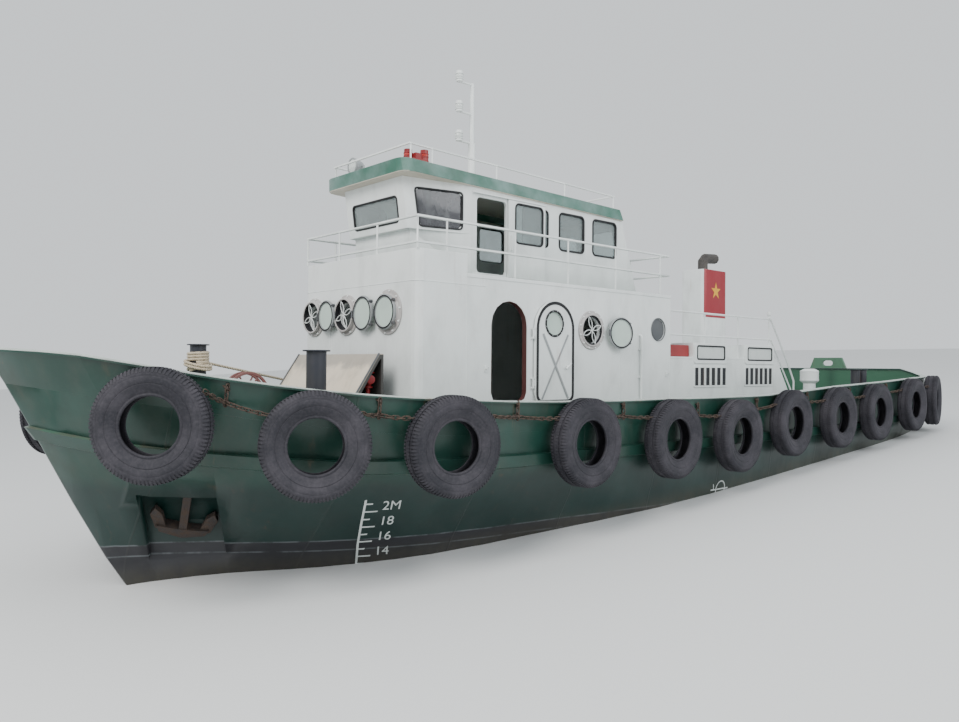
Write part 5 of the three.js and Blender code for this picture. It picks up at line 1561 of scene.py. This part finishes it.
HEAD_WELD = 5.070
upright = ((4.705, 3.03), (4.330, 4.95), (2.350, 3.03), (1.150, 3.03), (-0.355, 3.03))
side_welds = [bead((x, SIDE_WALL, z), (x, SIDE_WALL, 5.165)) for x, z in upright]
side_welds.append(bead((4.700, SIDE_WALL, HEAD_WELD), (4.330, SIDE_WALL, HEAD_WELD)))
front_welds = [bead((FRONT_WALL, y, 3.05), (FRONT_WALL, y, 5.50)) for y in (-0.72, 0.33)]
plan = [(4.70, SIDE_WALL), *arc((5.51, 1.41), 0.12, 90, 0, 6)]
round_the_bow = plan + [(x, -y) for x, y in reversed(plan)]
front_welds.append(bead(*[(x, y, HEAD_WELD) for x, y in round_the_bow]))
piece("deckhouse_welds", WHITE, on_both_sides(side_welds) + front_welds)

PIPE = {"x": 0.570, "y": SIDE_WALL + 0.045, "radius": 0.021, "bore": 0.0215}
bend = [(PIPE["x"], y, z) for y, z in arc((SIDE_WALL, 4.415), 0.045, 90, 0, 5)]
run_down = [(PIPE["x"], PIPE["y"], z) for z in (4.0, 3.5, 3.018)]
side_pipe = [pipe([(PIPE["x"], SIDE_WALL - 0.02, 4.460), *bend, *run_down], PIPE["radius"], 16)]
for z in (4.20, 3.70, 3.25):
    side_pipe.append(block((PIPE["x"] - 0.045, PIPE["x"] + 0.045), (SIDE_WALL + 0.001, SIDE_WALL + 0.026),
                           (z - 0.015, z + 0.015)))
    side_pipe.append(band(PIPE["bore"], 0.026, -0.013, 0.013, (PIPE["x"], PIPE["y"], z), sides=20))
side_pipe.append(band(PIPE["bore"], 0.055, 0.002, 0.010, (PIPE["x"], PIPE["y"], 3.014), sides=24))
piece("side_pipe", WHITE, side_pipe)
hooks = []
for x, z in ((4.330, 3.840), (-0.250, 3.760)):
    hooks.append(block((x - 0.030, x + 0.030), (SIDE_WALL + 0.001, SIDE_WALL + 0.012),
                       (z - 0.045, z + 0.045)))
    hook = [(x, SIDE_WALL + 0.008, z), (x, SIDE_WALL + 0.050, z), (x, SIDE_WALL + 0.065, z + 0.030)]
    hooks.append(pipe(hook, 0.009, 10))
piece("door_hooks", WHITE, on_both_sides(hooks))
print("weld beads, pipe, hooks")

# %% [markdown]
# ## Wheelhouse windows
# Each pane sits in a black rubber strip. The front panes lean with the wall and the slanted side panes
# follow the bend of the wall, so their strips are drawn flat and then each corner is moved to the wall.

# %% Panes and strips
WHEELHOUSE_WALL = 1.050
SIDE_WINDOW_Z = (5.880, 6.520)
BENT = [(4.370, 5.975), (5.060, 5.975), (5.150, 6.540), (4.370, 6.540)]


def front_x(z):
    return 5.245 + (z - 5.930) * 0.105 / 0.755


def onto_front(p):
    return p.x + front_x(p.z), p.y, p.z


def onto_slant(p):
    """Onto the outside of the slanted wall between the side and the front."""
    return p.x, p.y + WHEELHOUSE_WALL - 0.270 * (p.x - 4.210) / (front_x(p.z) - 4.210), p.z


def onto_aft(p):
    return p.x + 0.030 + (p.z - 5.240) * 0.3465, p.y, p.z


def eased(corners, radius, steps=5):
    """A many-cornered outline with every corner rounded off."""
    line = []
    for k, corner in enumerate(corners):
        here = Vector(corner)
        back, ahead = Vector(corners[k - 1]) - here, Vector(corners[(k + 1) % len(corners)]) - here
        start, end = here + back.normalized() * radius, here + ahead.normalized() * radius
        for t in (j / steps for j in range(steps + 1)):
            line.append(start * (1 - t) ** 2 + here * 2 * t * (1 - t) + end * t ** 2)
    return line


def grown(corners, amount):
    """Straight-sided outline with each side moved outward."""
    moved = []
    for k, corner in enumerate(corners):
        here, before, after = Vector(corner), Vector(corners[k - 1]), Vector(corners[(k + 1) % len(corners)])
        a, b = (here - before).normalized(), (after - here).normalized()
        na, nb = Vector((a.y, -a.x)), Vector((b.y, -b.x))
        moved.append(here + (na + nb) * (amount / (1 + na.dot(nb))))
    return moved


def square_window(u0, u1, v0, v1, radius):
    """Gives the opening's outline by how far it is grown outward, which may be less than nothing."""
    return lambda grow: rounded(u0 - grow, u1 + grow, v0 - grow, v1 + grow, radius + grow)


def slanted_window(grow):
    return eased(grown(BENT, grow), 0.060 + grow)


def glazed(opening, axis, strip_size, pane_size, place=tuple):
    """The strip over the edge of an opening and the pane in it. Sizes are growths and then depths."""
    outward, inward, *depths = strip_size
    size, *pane_depths = pane_size
    shapes = (rim(opening(outward), opening(inward), axis, *depths), slab(opening(size), axis, *pane_depths))
    return [([Vector(place(p)) for p in corners], faces) for corners, faces in shapes]


front_strip, front_pane = glazed(square_window(-0.595, 0.595, 6.040, 6.420, 0.06), "x",
                                 (0.014, -0.012, -0.030, 0.010), (-0.008, -0.026, -0.018), onto_front)
slant_strip, slant_pane = glazed(slanted_window, "y", (0.014, -0.012, -0.034, 0.012),
                                 (-0.008, -0.028, -0.020), onto_slant)
strips, panes = [slant_strip], []
# The door slides past the foremost window, so that one has a strip that hardly stands out.
for x0, x1, grow, proud in ((2.470, 3.110, 0.002, 0.0008), (1.570, 2.210, 0.014, 0.012),
                            (0.670, 1.330, 0.014, 0.012)):
    sizes = (grow, -0.016, WHEELHOUSE_WALL - 0.040, WHEELHOUSE_WALL + proud)
    made = glazed(square_window(x0, x1, *SIDE_WINDOW_Z, 0.08), "y", sizes, (-0.010, 1.018, 1.026))
    strips.append(made[0])
    panes.append(made[1])
made = glazed(square_window(0.130, 0.800, 5.880, 6.450, 0.06), "x", (0.022, -0.014, -0.012, 0.034),
              (-0.008, 0.018, 0.026), onto_aft)
strips.append(made[0])
panes.append(made[1])
piece("wheelhouse_seals", SEAL_RUBBER, [front_strip, *on_both_sides(strips)], bevel=0.003, slot="rubber_seal")
piece("wheelhouse_glass", GLASS, [front_pane, *on_both_sides(panes)], slot="glass")
piece("wheelhouse_glass_bent", SMOKED, on_both_sides([slant_pane]), slot="glass")

door_strip, door_pane = glazed(square_window(2.660, 3.300, *SIDE_WINDOW_Z, 0.08), "y",
                               (0.014, -0.014, 1.060, 1.101), (-0.008, 1.070, 1.078))
pair("sliding_door_seal", SEAL_RUBBER, [door_strip], "wheelhouse_door_{}", bevel=0.003, slot="rubber_seal")
pair("sliding_door_glass", GLASS, [door_pane], "wheelhouse_door_{}", slot="glass")
print("wheelhouse panes a side:", len(panes) + 2)

# %% [markdown]
# ## Engine casing
# The casing has two windows a side in raised frames, each pane in a dark strip, and below them louvres:
# upright slots with folded slats between them. The slats are real folded plates that throw shadow, and a
# thin near-black sheet behind the slots adds painted shade, so the slots read as dark bars.

# %% Casing windows and louvres
PALE_GLASS = pane_glass("pale_glass", (0.74, 0.78, 0.76), clear=0.15)
CASING = 1.5305
CASING_WINDOWS = ((-2.350, -1.160), (-4.270, -3.060))
LOUVRES = ((-2.310, -1.190), (-4.190, -3.080))
LOUVRE_Z = (3.530, 3.880)
SLOTS, SLOT_SHARE = 6, 0.62


def louvre(x0, x1):
    pitch = (x1 - x0) / (SLOTS - 1 + SLOT_SHARE)
    wide = pitch * (1 - SLOT_SHARE)
    slats = []
    for k in range(SLOTS - 1):
        x = x0 + pitch * (k + SLOT_SHARE)
        back, front = CASING + 0.001, CASING + 0.0225
        fold = [(x, back), (x + wide, back), (x + wide, front - 0.003), (x + wide - 0.006, front),
                (x, back + 0.0055)]
        slats.append(slab(fold, "z", *LOUVRE_Z))
    z0, z1 = LOUVRE_Z
    edge = rounded(x0 - 0.035, x1 + 0.035, z0 - 0.035, z1 + 0.035, 0.025, 3)
    return slats + [rim(edge, rounded(x0, x1, z0, z1, 0.006, 3), "y", CASING, CASING + 0.0135)]


frames, seals, lights = [], [], []
for x0, x1 in CASING_WINDOWS:
    outer, inner = rounded(x0, x1, 3.965, 4.366, 0.05), rounded(x0 + 0.085, x1 - 0.085, 4.035, 4.325, 0.05)
    edge = rounded(x0 + 0.115, x1 - 0.115, 4.065, 4.295, 0.03)
    frames.append(rim(outer, inner, "y", CASING, CASING + 0.0185))
    seals.append(rim(inner, edge, "y", CASING, CASING + 0.0235))
    lights.append(slab(edge, "y", CASING, CASING + 0.0075))
pair("casing_window_frames", WHITE, frames, bevel=0.004)
pair("casing_window_seals", SEAL_RUBBER, seals, bevel=0.003, slot="rubber_seal")
pair("casing_window_glass", PALE_GLASS, lights, slot="glass")
pair("louvre_slats", WHITE, [s for x in LOUVRES for s in louvre(*x)], bevel=0.002)
# Painted shade: a thin near-black sheet behind each row of slots.
shade_sheets = [slab(rounded(*x, *LOUVRE_Z, 0.006, 3), "y", CASING - 0.0003, CASING + 0.0007) for x in LOUVRES]
pair("louvre_backs", SHADED, shade_sheets)
print("casing windows and louvres")

# %% [markdown]
# ## Funnel star, lamps and small lights
# The red panel on the funnel carries a plain yellow five-pointed star, cut from thin sheet. The roof lamps
# are red lanterns with a cap and a lens, the mast carries three more, and the floodlight has a bowl with a
# glass.

# %% Star and lamps
FUNNEL_SIDE, SHEET = 0.310, (0.0005, 0.003)
MAST_X, MAST_LAMPS = 3.590, (8.890, 8.380, 7.880)
ROOF_LAMPS = ((5.270, 0.820), (5.060, 0.940))
STAR = {"x": -3.910, "z": 5.640, "reach": (0.200, 0.077)}
RED_GLASS = pane_glass("red_glass", (0.62, 0.05, 0.04), clear=0.3)
star = []
for k in range(10):
    x, z = polar(STAR["reach"][k % 2], math.radians(90 + 36 * k))
    star.append((STAR["x"] + x, STAR["z"] + z))
piece("funnel_stars", YELLOW, on_both_sides([slab(star, "y", *(FUNNEL_SIDE + off for off in SHEET))]))

lenses, caps = [], []
for x, y in ROOF_LAMPS:
    for z in (6.965, 7.015):
        cap = [(0.062, z), (0.069, z + 0.004), (0.069, z + 0.012), (0.061, z + 0.016)]
        caps.append(turned(cap, (x, y, 0), sides=32))
    lens = [(0.0625, 6.985), (0.0665, 6.990), (0.0665, 7.008), (0.0625, 7.013)]
    lenses.append(turned(lens, (x, y, 0), sides=32, loop=True))
piece("roof_lamp_rings", RED, caps)
piece("roof_lamp_lenses", RED_GLASS, lenses, slot="glass")

lenses, caps = [], []
for z in MAST_LAMPS:
    at = (MAST_X, 0, z)
    lens = [(0.061, -0.125), (0.068, -0.115), (0.068, -0.065), (0.061, -0.055)]
    lenses.append(turned(lens, at, sides=32, loop=True))
    caps += [band(0.061, 0.072, low, low + 0.010, at, sides=32) for low in (-0.140, -0.052)]
piece("mast_lamp_lenses", PALE_GLASS, lenses, slot="glass")
piece("mast_lamp_rings", WHITE, caps)

flood = (5.190, -0.690, 7.110)
yoke = [(-0.850, 7.110), (-0.850, 7.000), (-0.780, 6.965), (-0.600, 6.965), (-0.530, 7.000), (-0.530, 7.110)]
piece("floodlight_rim", GREY, [
    band(0.112, 0.134, 0.0705, 0.088, flood, FORWARD, 40),
    bar((5.150, -0.855, 7.110), (5.150, -0.525, 7.110), 0.012, 12),
    pipe([(5.150, y, z) for y, z in yoke], 0.013, 10)], bevel=0.002)
flood_glass = turned([(0.111, 0.0705), (0.111, 0.078), (0.05, 0.084)], flood, FORWARD, 40)
piece("floodlight_glass", PALE_GLASS, [flood_glass], slot="glass")
piece("rail_light", WHITE, [
    turned([(0.030, 4.975), (0.034, 4.985), (0.022, 5.000), (0.022, 5.030), (0.042, 5.045), (0.046, 5.085),
            (0.034, 5.120), (0.012, 5.132)], (-4.150, 1.485, 0), sides=24)])
print("star, lamps and lights")

# %% [markdown]
# ## Bollards
# A bollard is a thick pipe on a bolted foot, with a flat flange on top that keeps the rope from slipping
# off. All of them are profiles turned about their own axis. The feet are sunk into the sloping deck.

# %% Bollards and the towing bitt
def post(x, y, foot, top, radius, flange):
    under = top - 0.018
    return turned([(radius + 0.012, foot), (radius + 0.012, foot + 0.012), (radius, foot + 0.024),
                   (radius, under - 0.004), (radius + 0.004, under), (flange - 0.003, under),
                   (flange, under + 0.003), (flange, top - 0.003), (flange - 0.003, top),
                   (radius - 0.010, top), (radius - 0.016, top - 0.004)], (x, y, 0), sides=56)


FOOT = {"radius": 0.230, "top": 3.190}
STERN_POSTS = {"x": -7.200, "y": 2.150, "top": 3.140}
for side_name, side, top in (("port", PORT, 4.060), ("starboard", STARBOARD, 4.185)):
    x, y = BOLLARD["x"], BOLLARD["y"] * side
    foot = turned([(FOOT["radius"], deck_z(x) - 0.040), (FOOT["radius"], FOOT["top"] - 0.004),
                   (FOOT["radius"] - 0.004, FOOT["top"])], (x, y, 0))
    column = post(x, y, FOOT["top"] - 0.002, top, BOLLARD["radius"], 0.167)
    piece(f"bollard_{side_name}", DARK_BLUE, [foot, column], replaces=(f"bow_bollard_{side_name}",),
          slot="blue_paint")
    bolts_round(f"bollard_bolts_{side_name}", (x, y, FOOT["top"]), UP, 0.195, 10, DARK_BLUE)
    x, y = STERN_POSTS["x"], STERN_POSTS["y"] * side
    base = block((x - 0.330, x + 0.330), (y - 0.170, y + 0.170), (deck_z(x) - 0.030, STERN_POSTS["top"]))
    twins = [post(x + way, y, STERN_POSTS["top"] - 0.002, 3.870, 0.105, 0.140) for way in (-0.180, 0.180)]
    piece(f"stern_posts_{side_name}", DARK_BLUE, [base, *twins], bevel=0.004,
          replaces=(f"stern_bollards_{side_name}",), slot="blue_paint")

BITT_X = -6.200
bitt = [block((-6.450, -5.950), (-0.650, 0.650), (deck_z(BITT_X) - 0.020, 3.080))]
leg = [(0.122, 3.078), (0.110, 3.094), (0.110, 3.930), (0.100, 3.955), (0.060, 3.976), (0.02, 3.980)]
crossbar = [(0.060, -0.720), (0.075, -0.712), (0.075, 0.712), (0.060, 0.720)]
bitt.append(turned(crossbar, (BITT_X, 0, 3.640), (0, 1, 0), 40))
for y in (-0.450, 0.450):
    bitt.append(turned(leg, (BITT_X, y, 0)))
    for way in (-1, 1):
        near, far = BITT_X + way * 0.100, BITT_X + way * 0.200
        knee = [(far, 3.079), (far, 3.110), (near, 3.420), (near, 3.079)]
        bitt.append(slab(knee, "y", y - 0.008, y + 0.008))
piece("towing_post", DARK_GREY, bitt, bevel=0.003, replaces=("towing_bitt",), slot="rusty_iron")
drum = [(0.165, deck_z(-7.7) - 0.01), (0.165, 3.130), (0.150, 3.145), (0.150, 3.500), (0.226, 3.560),
        (0.230, 3.566), (0.230, 3.600), (0.226, 3.604), (0.226, 3.790), (0.230, 3.794), (0.230, 3.820),
        (0.120, 3.878), (0.020, 3.880)]
piece("deck_ventilator", WHITE, [turned(drum, (-7.700, 0.700, 0), sides=56)], replaces=("ventilator",),
      slot="grey_paint")
print("bollards, towing post, ventilator")

# %% [markdown]
# ## Windlass, hood and valve
# The windlass is a narrow drum between two wide flanges on a bed. Under the leaning plate of the hood
# stands a red valve with a hand wheel. The hood's plate has a folded edge and two gussets under it, both
# dark grey as painted shade.

# %% Windlass, hood edges and valve
AXLE, ACROSS = Vector((7.300, 0, 3.470)), (0, 1, 0)
FLANGES = (-0.280, -0.120)
CHEEK = [(7.150, 3.228), (7.450, 3.228), (7.365, 3.500), (7.335, 3.530), (7.265, 3.530), (7.235, 3.500)]
windlass = [block((7.000, 7.600), (-0.440, 0.060), (deck_z(7.3) - 0.08, 3.230))]
windlass += [band(inner, outer, y - 0.018, y + 0.018, AXLE, ACROSS, 64)
             for y in FLANGES for inner, outer in ((0.268, 0.305), (0.046, 0.165))]
windlass.append(turned([(0.150, -0.271), (0.150, -0.129)], AXLE, ACROSS))
windlass.append(turned([(0.040, -0.430), (0.045, -0.425), (0.045, 0.045), (0.040, 0.050)], AXLE, ACROSS, 32))
for y in (-0.380, -0.020):
    windlass.append(slab(CHEEK, "y", y - 0.022, y + 0.022))
    windlass.append(turned([(0.075, y - 0.030), (0.075, y + 0.030)], AXLE, ACROSS, 32))
piece("windlass_gear", PINK, windlass, bevel=0.004, replaces=("windlass",), slot="red_paint")
spokes = []
for k in range(6):
    x, z = polar(1, math.tau * k / 6)
    centres = [AXLE + Vector((0, y, 0)) for y in FLANGES]
    spokes += [bar(c + Vector((x, 0, z)) * 0.155, c + Vector((x, 0, z)) * 0.275, 0.012, 10) for c in centres]
piece("windlass_spokes", PINK, spokes)

HOOD_EDGE = ((6.690, 3.060), (6.328, 3.502), (5.962, 4.046))
GUSSET = [(5.931, 3.30), (5.931, 3.90), (5.986, 3.90), (6.288, 3.438), (6.364, 3.30)]
edges = [pipe([(x, y, z) for x, z in HOOD_EDGE], 0.014, 8) for y in (-1.116, 1.116)]
gussets = [slab(GUSSET, "y", y - 0.006, y + 0.006) for y in (-0.45, 0.45)]
# Painted shade: the edge pipes and gussets are dark grey for the shade along the plate's edge and under it.
piece("hood_edges", DARK_GREY, edges + gussets)

VALVE, WHEEL_UP, WHEEL = Vector((6.020, 0.930, 3.690)), 0.085, 0.085
hub = VALVE + UP * WHEEL_UP
wheel = [pipe([hub + Vector((*polar(WHEEL, math.tau * k / 28), 0)) for k in range(28)], 0.011, 10, loop=True)]
wheel += [bar(hub, hub + Vector((*polar(WHEEL, math.tau * k / 3), 0)), 0.007, 8) for k in range(3)]
piece("deck_valve", RED, [
    turned([(0.030, 3.05), (0.030, 3.560), (0.070, 3.562), (0.070, 3.580), (0.045, 3.584), (0.060, 3.640),
            (0.068, 3.680), (0.058, 3.720), (0.030, 3.735), (0.013, 3.740), (0.013, 3.790), (0.008, 3.792)],
           (VALVE.x, VALVE.y, 0), sides=32),
    turned([(0.035, 0.03), (0.035, 0.115), (0.062, 0.117), (0.062, 0.136), (0.050, 0.138)],
           (VALVE.x, VALVE.y, 3.680), (0.3, 1, 0), 28), *wheel])
print("windlass and valve")

# %% [markdown]
# ## Propeller
# Each blade is wide at its middle and round at its tip, and twists: near the hub it stands nearly along the
# shaft, at the tip nearly across it. It is drawn as sections at growing radii. A section is a thin lens set
# at the pitch angle that its radius asks for and wrapped onto a cylinder of that radius.

# %% Propeller with four twisted blades
SHAFT_Z, HUB, REACH, PITCH, BLADES = 0.850, 0.130, 0.690, 0.95, 4
hub_low, hub_high = [f(v.co.x for v in level_mesh("propeller").verts) for f in (min, max)]
HUB_X = (hub_low + hub_high) / 2


def blade(turn):
    rings = []
    for k in range(13):
        share = k / 12
        radius = HUB * 0.85 + (REACH - HUB * 0.85) * share
        angle = math.atan2(PITCH, math.tau * radius)
        chord = 0.43 * math.sin(math.pi * (0.16 + 0.80 * share)) ** 0.55 + 0.02
        thick = 0.030 * (1 - share) + 0.007
        skew = 0.06 * share ** 2
        points = []
        for j in range(14):
            t = math.tau * j / 14
            along, through = chord / 2 * math.cos(t) + skew, thick / 2 * math.sin(t)
            wrapped = (along * math.cos(angle) - through * math.sin(angle)) / radius
            x = 0.5 * (along * math.sin(angle) + through * math.cos(angle))
            y, z = polar(radius, wrapped + turn)
            points.append(Vector((HUB_X + x, y, SHAFT_Z + z)))
        rings.append(points)
    return capped(rings)


half = (hub_high - hub_low) / 2
hub_profile = [(0.105, -half), (0.125, -half + 0.02), (HUB, -0.02), (0.120, half - 0.07),
               (0.085, half - 0.03), (0.040, half)]
screw = [turned(hub_profile, (HUB_X, 0, SHAFT_Z), (-1, 0, 0))]
screw += [blade(math.tau * k / BLADES) for k in range(BLADES)]
piece("screw", BRONZE, screw, "propeller", replaces=("propeller",), slot="bronze")
print("propeller:", BLADES, "blades, hub from", round(hub_low, 3), "to", round(hub_high, 3))

# %% [markdown]
# ## Inside the wheelhouse
# The console shows dimly through the glass. Four gauges with rims and two levers stand on its desk.

# %% Console gauges and levers
console = [v.co.copy() for v in level_mesh("helm_console").verts if abs(v.co.y) > 0.35]
desk_top = max(p.z for p in console)
desk_edges = [p.x for p in console if p.z > desk_top - 0.02]
desk = (min(desk_edges) + max(desk_edges)) / 2
fittings = [band(0.045, 0.050, 0, 0.012, (desk, y, desk_top), sides=24) for y in (-0.62, -0.48, 0.48, 0.62)]
knob = [(0.004, 0.10), (0.018, 0.105), (0.022, 0.125), (0.014, 0.142)]
for y in (-0.36, 0.36):
    fittings.append(bar((desk, y, desk_top - 0.005), (desk + 0.03, y, desk_top + 0.11), 0.008, 10))
    fittings.append(turned(knob, (desk + 0.03, y, desk_top), sides=16))
piece("console_gauges", DARK_GREY, fittings)
print("console fittings at x", round(desk, 3), "z", round(desk_top, 3))
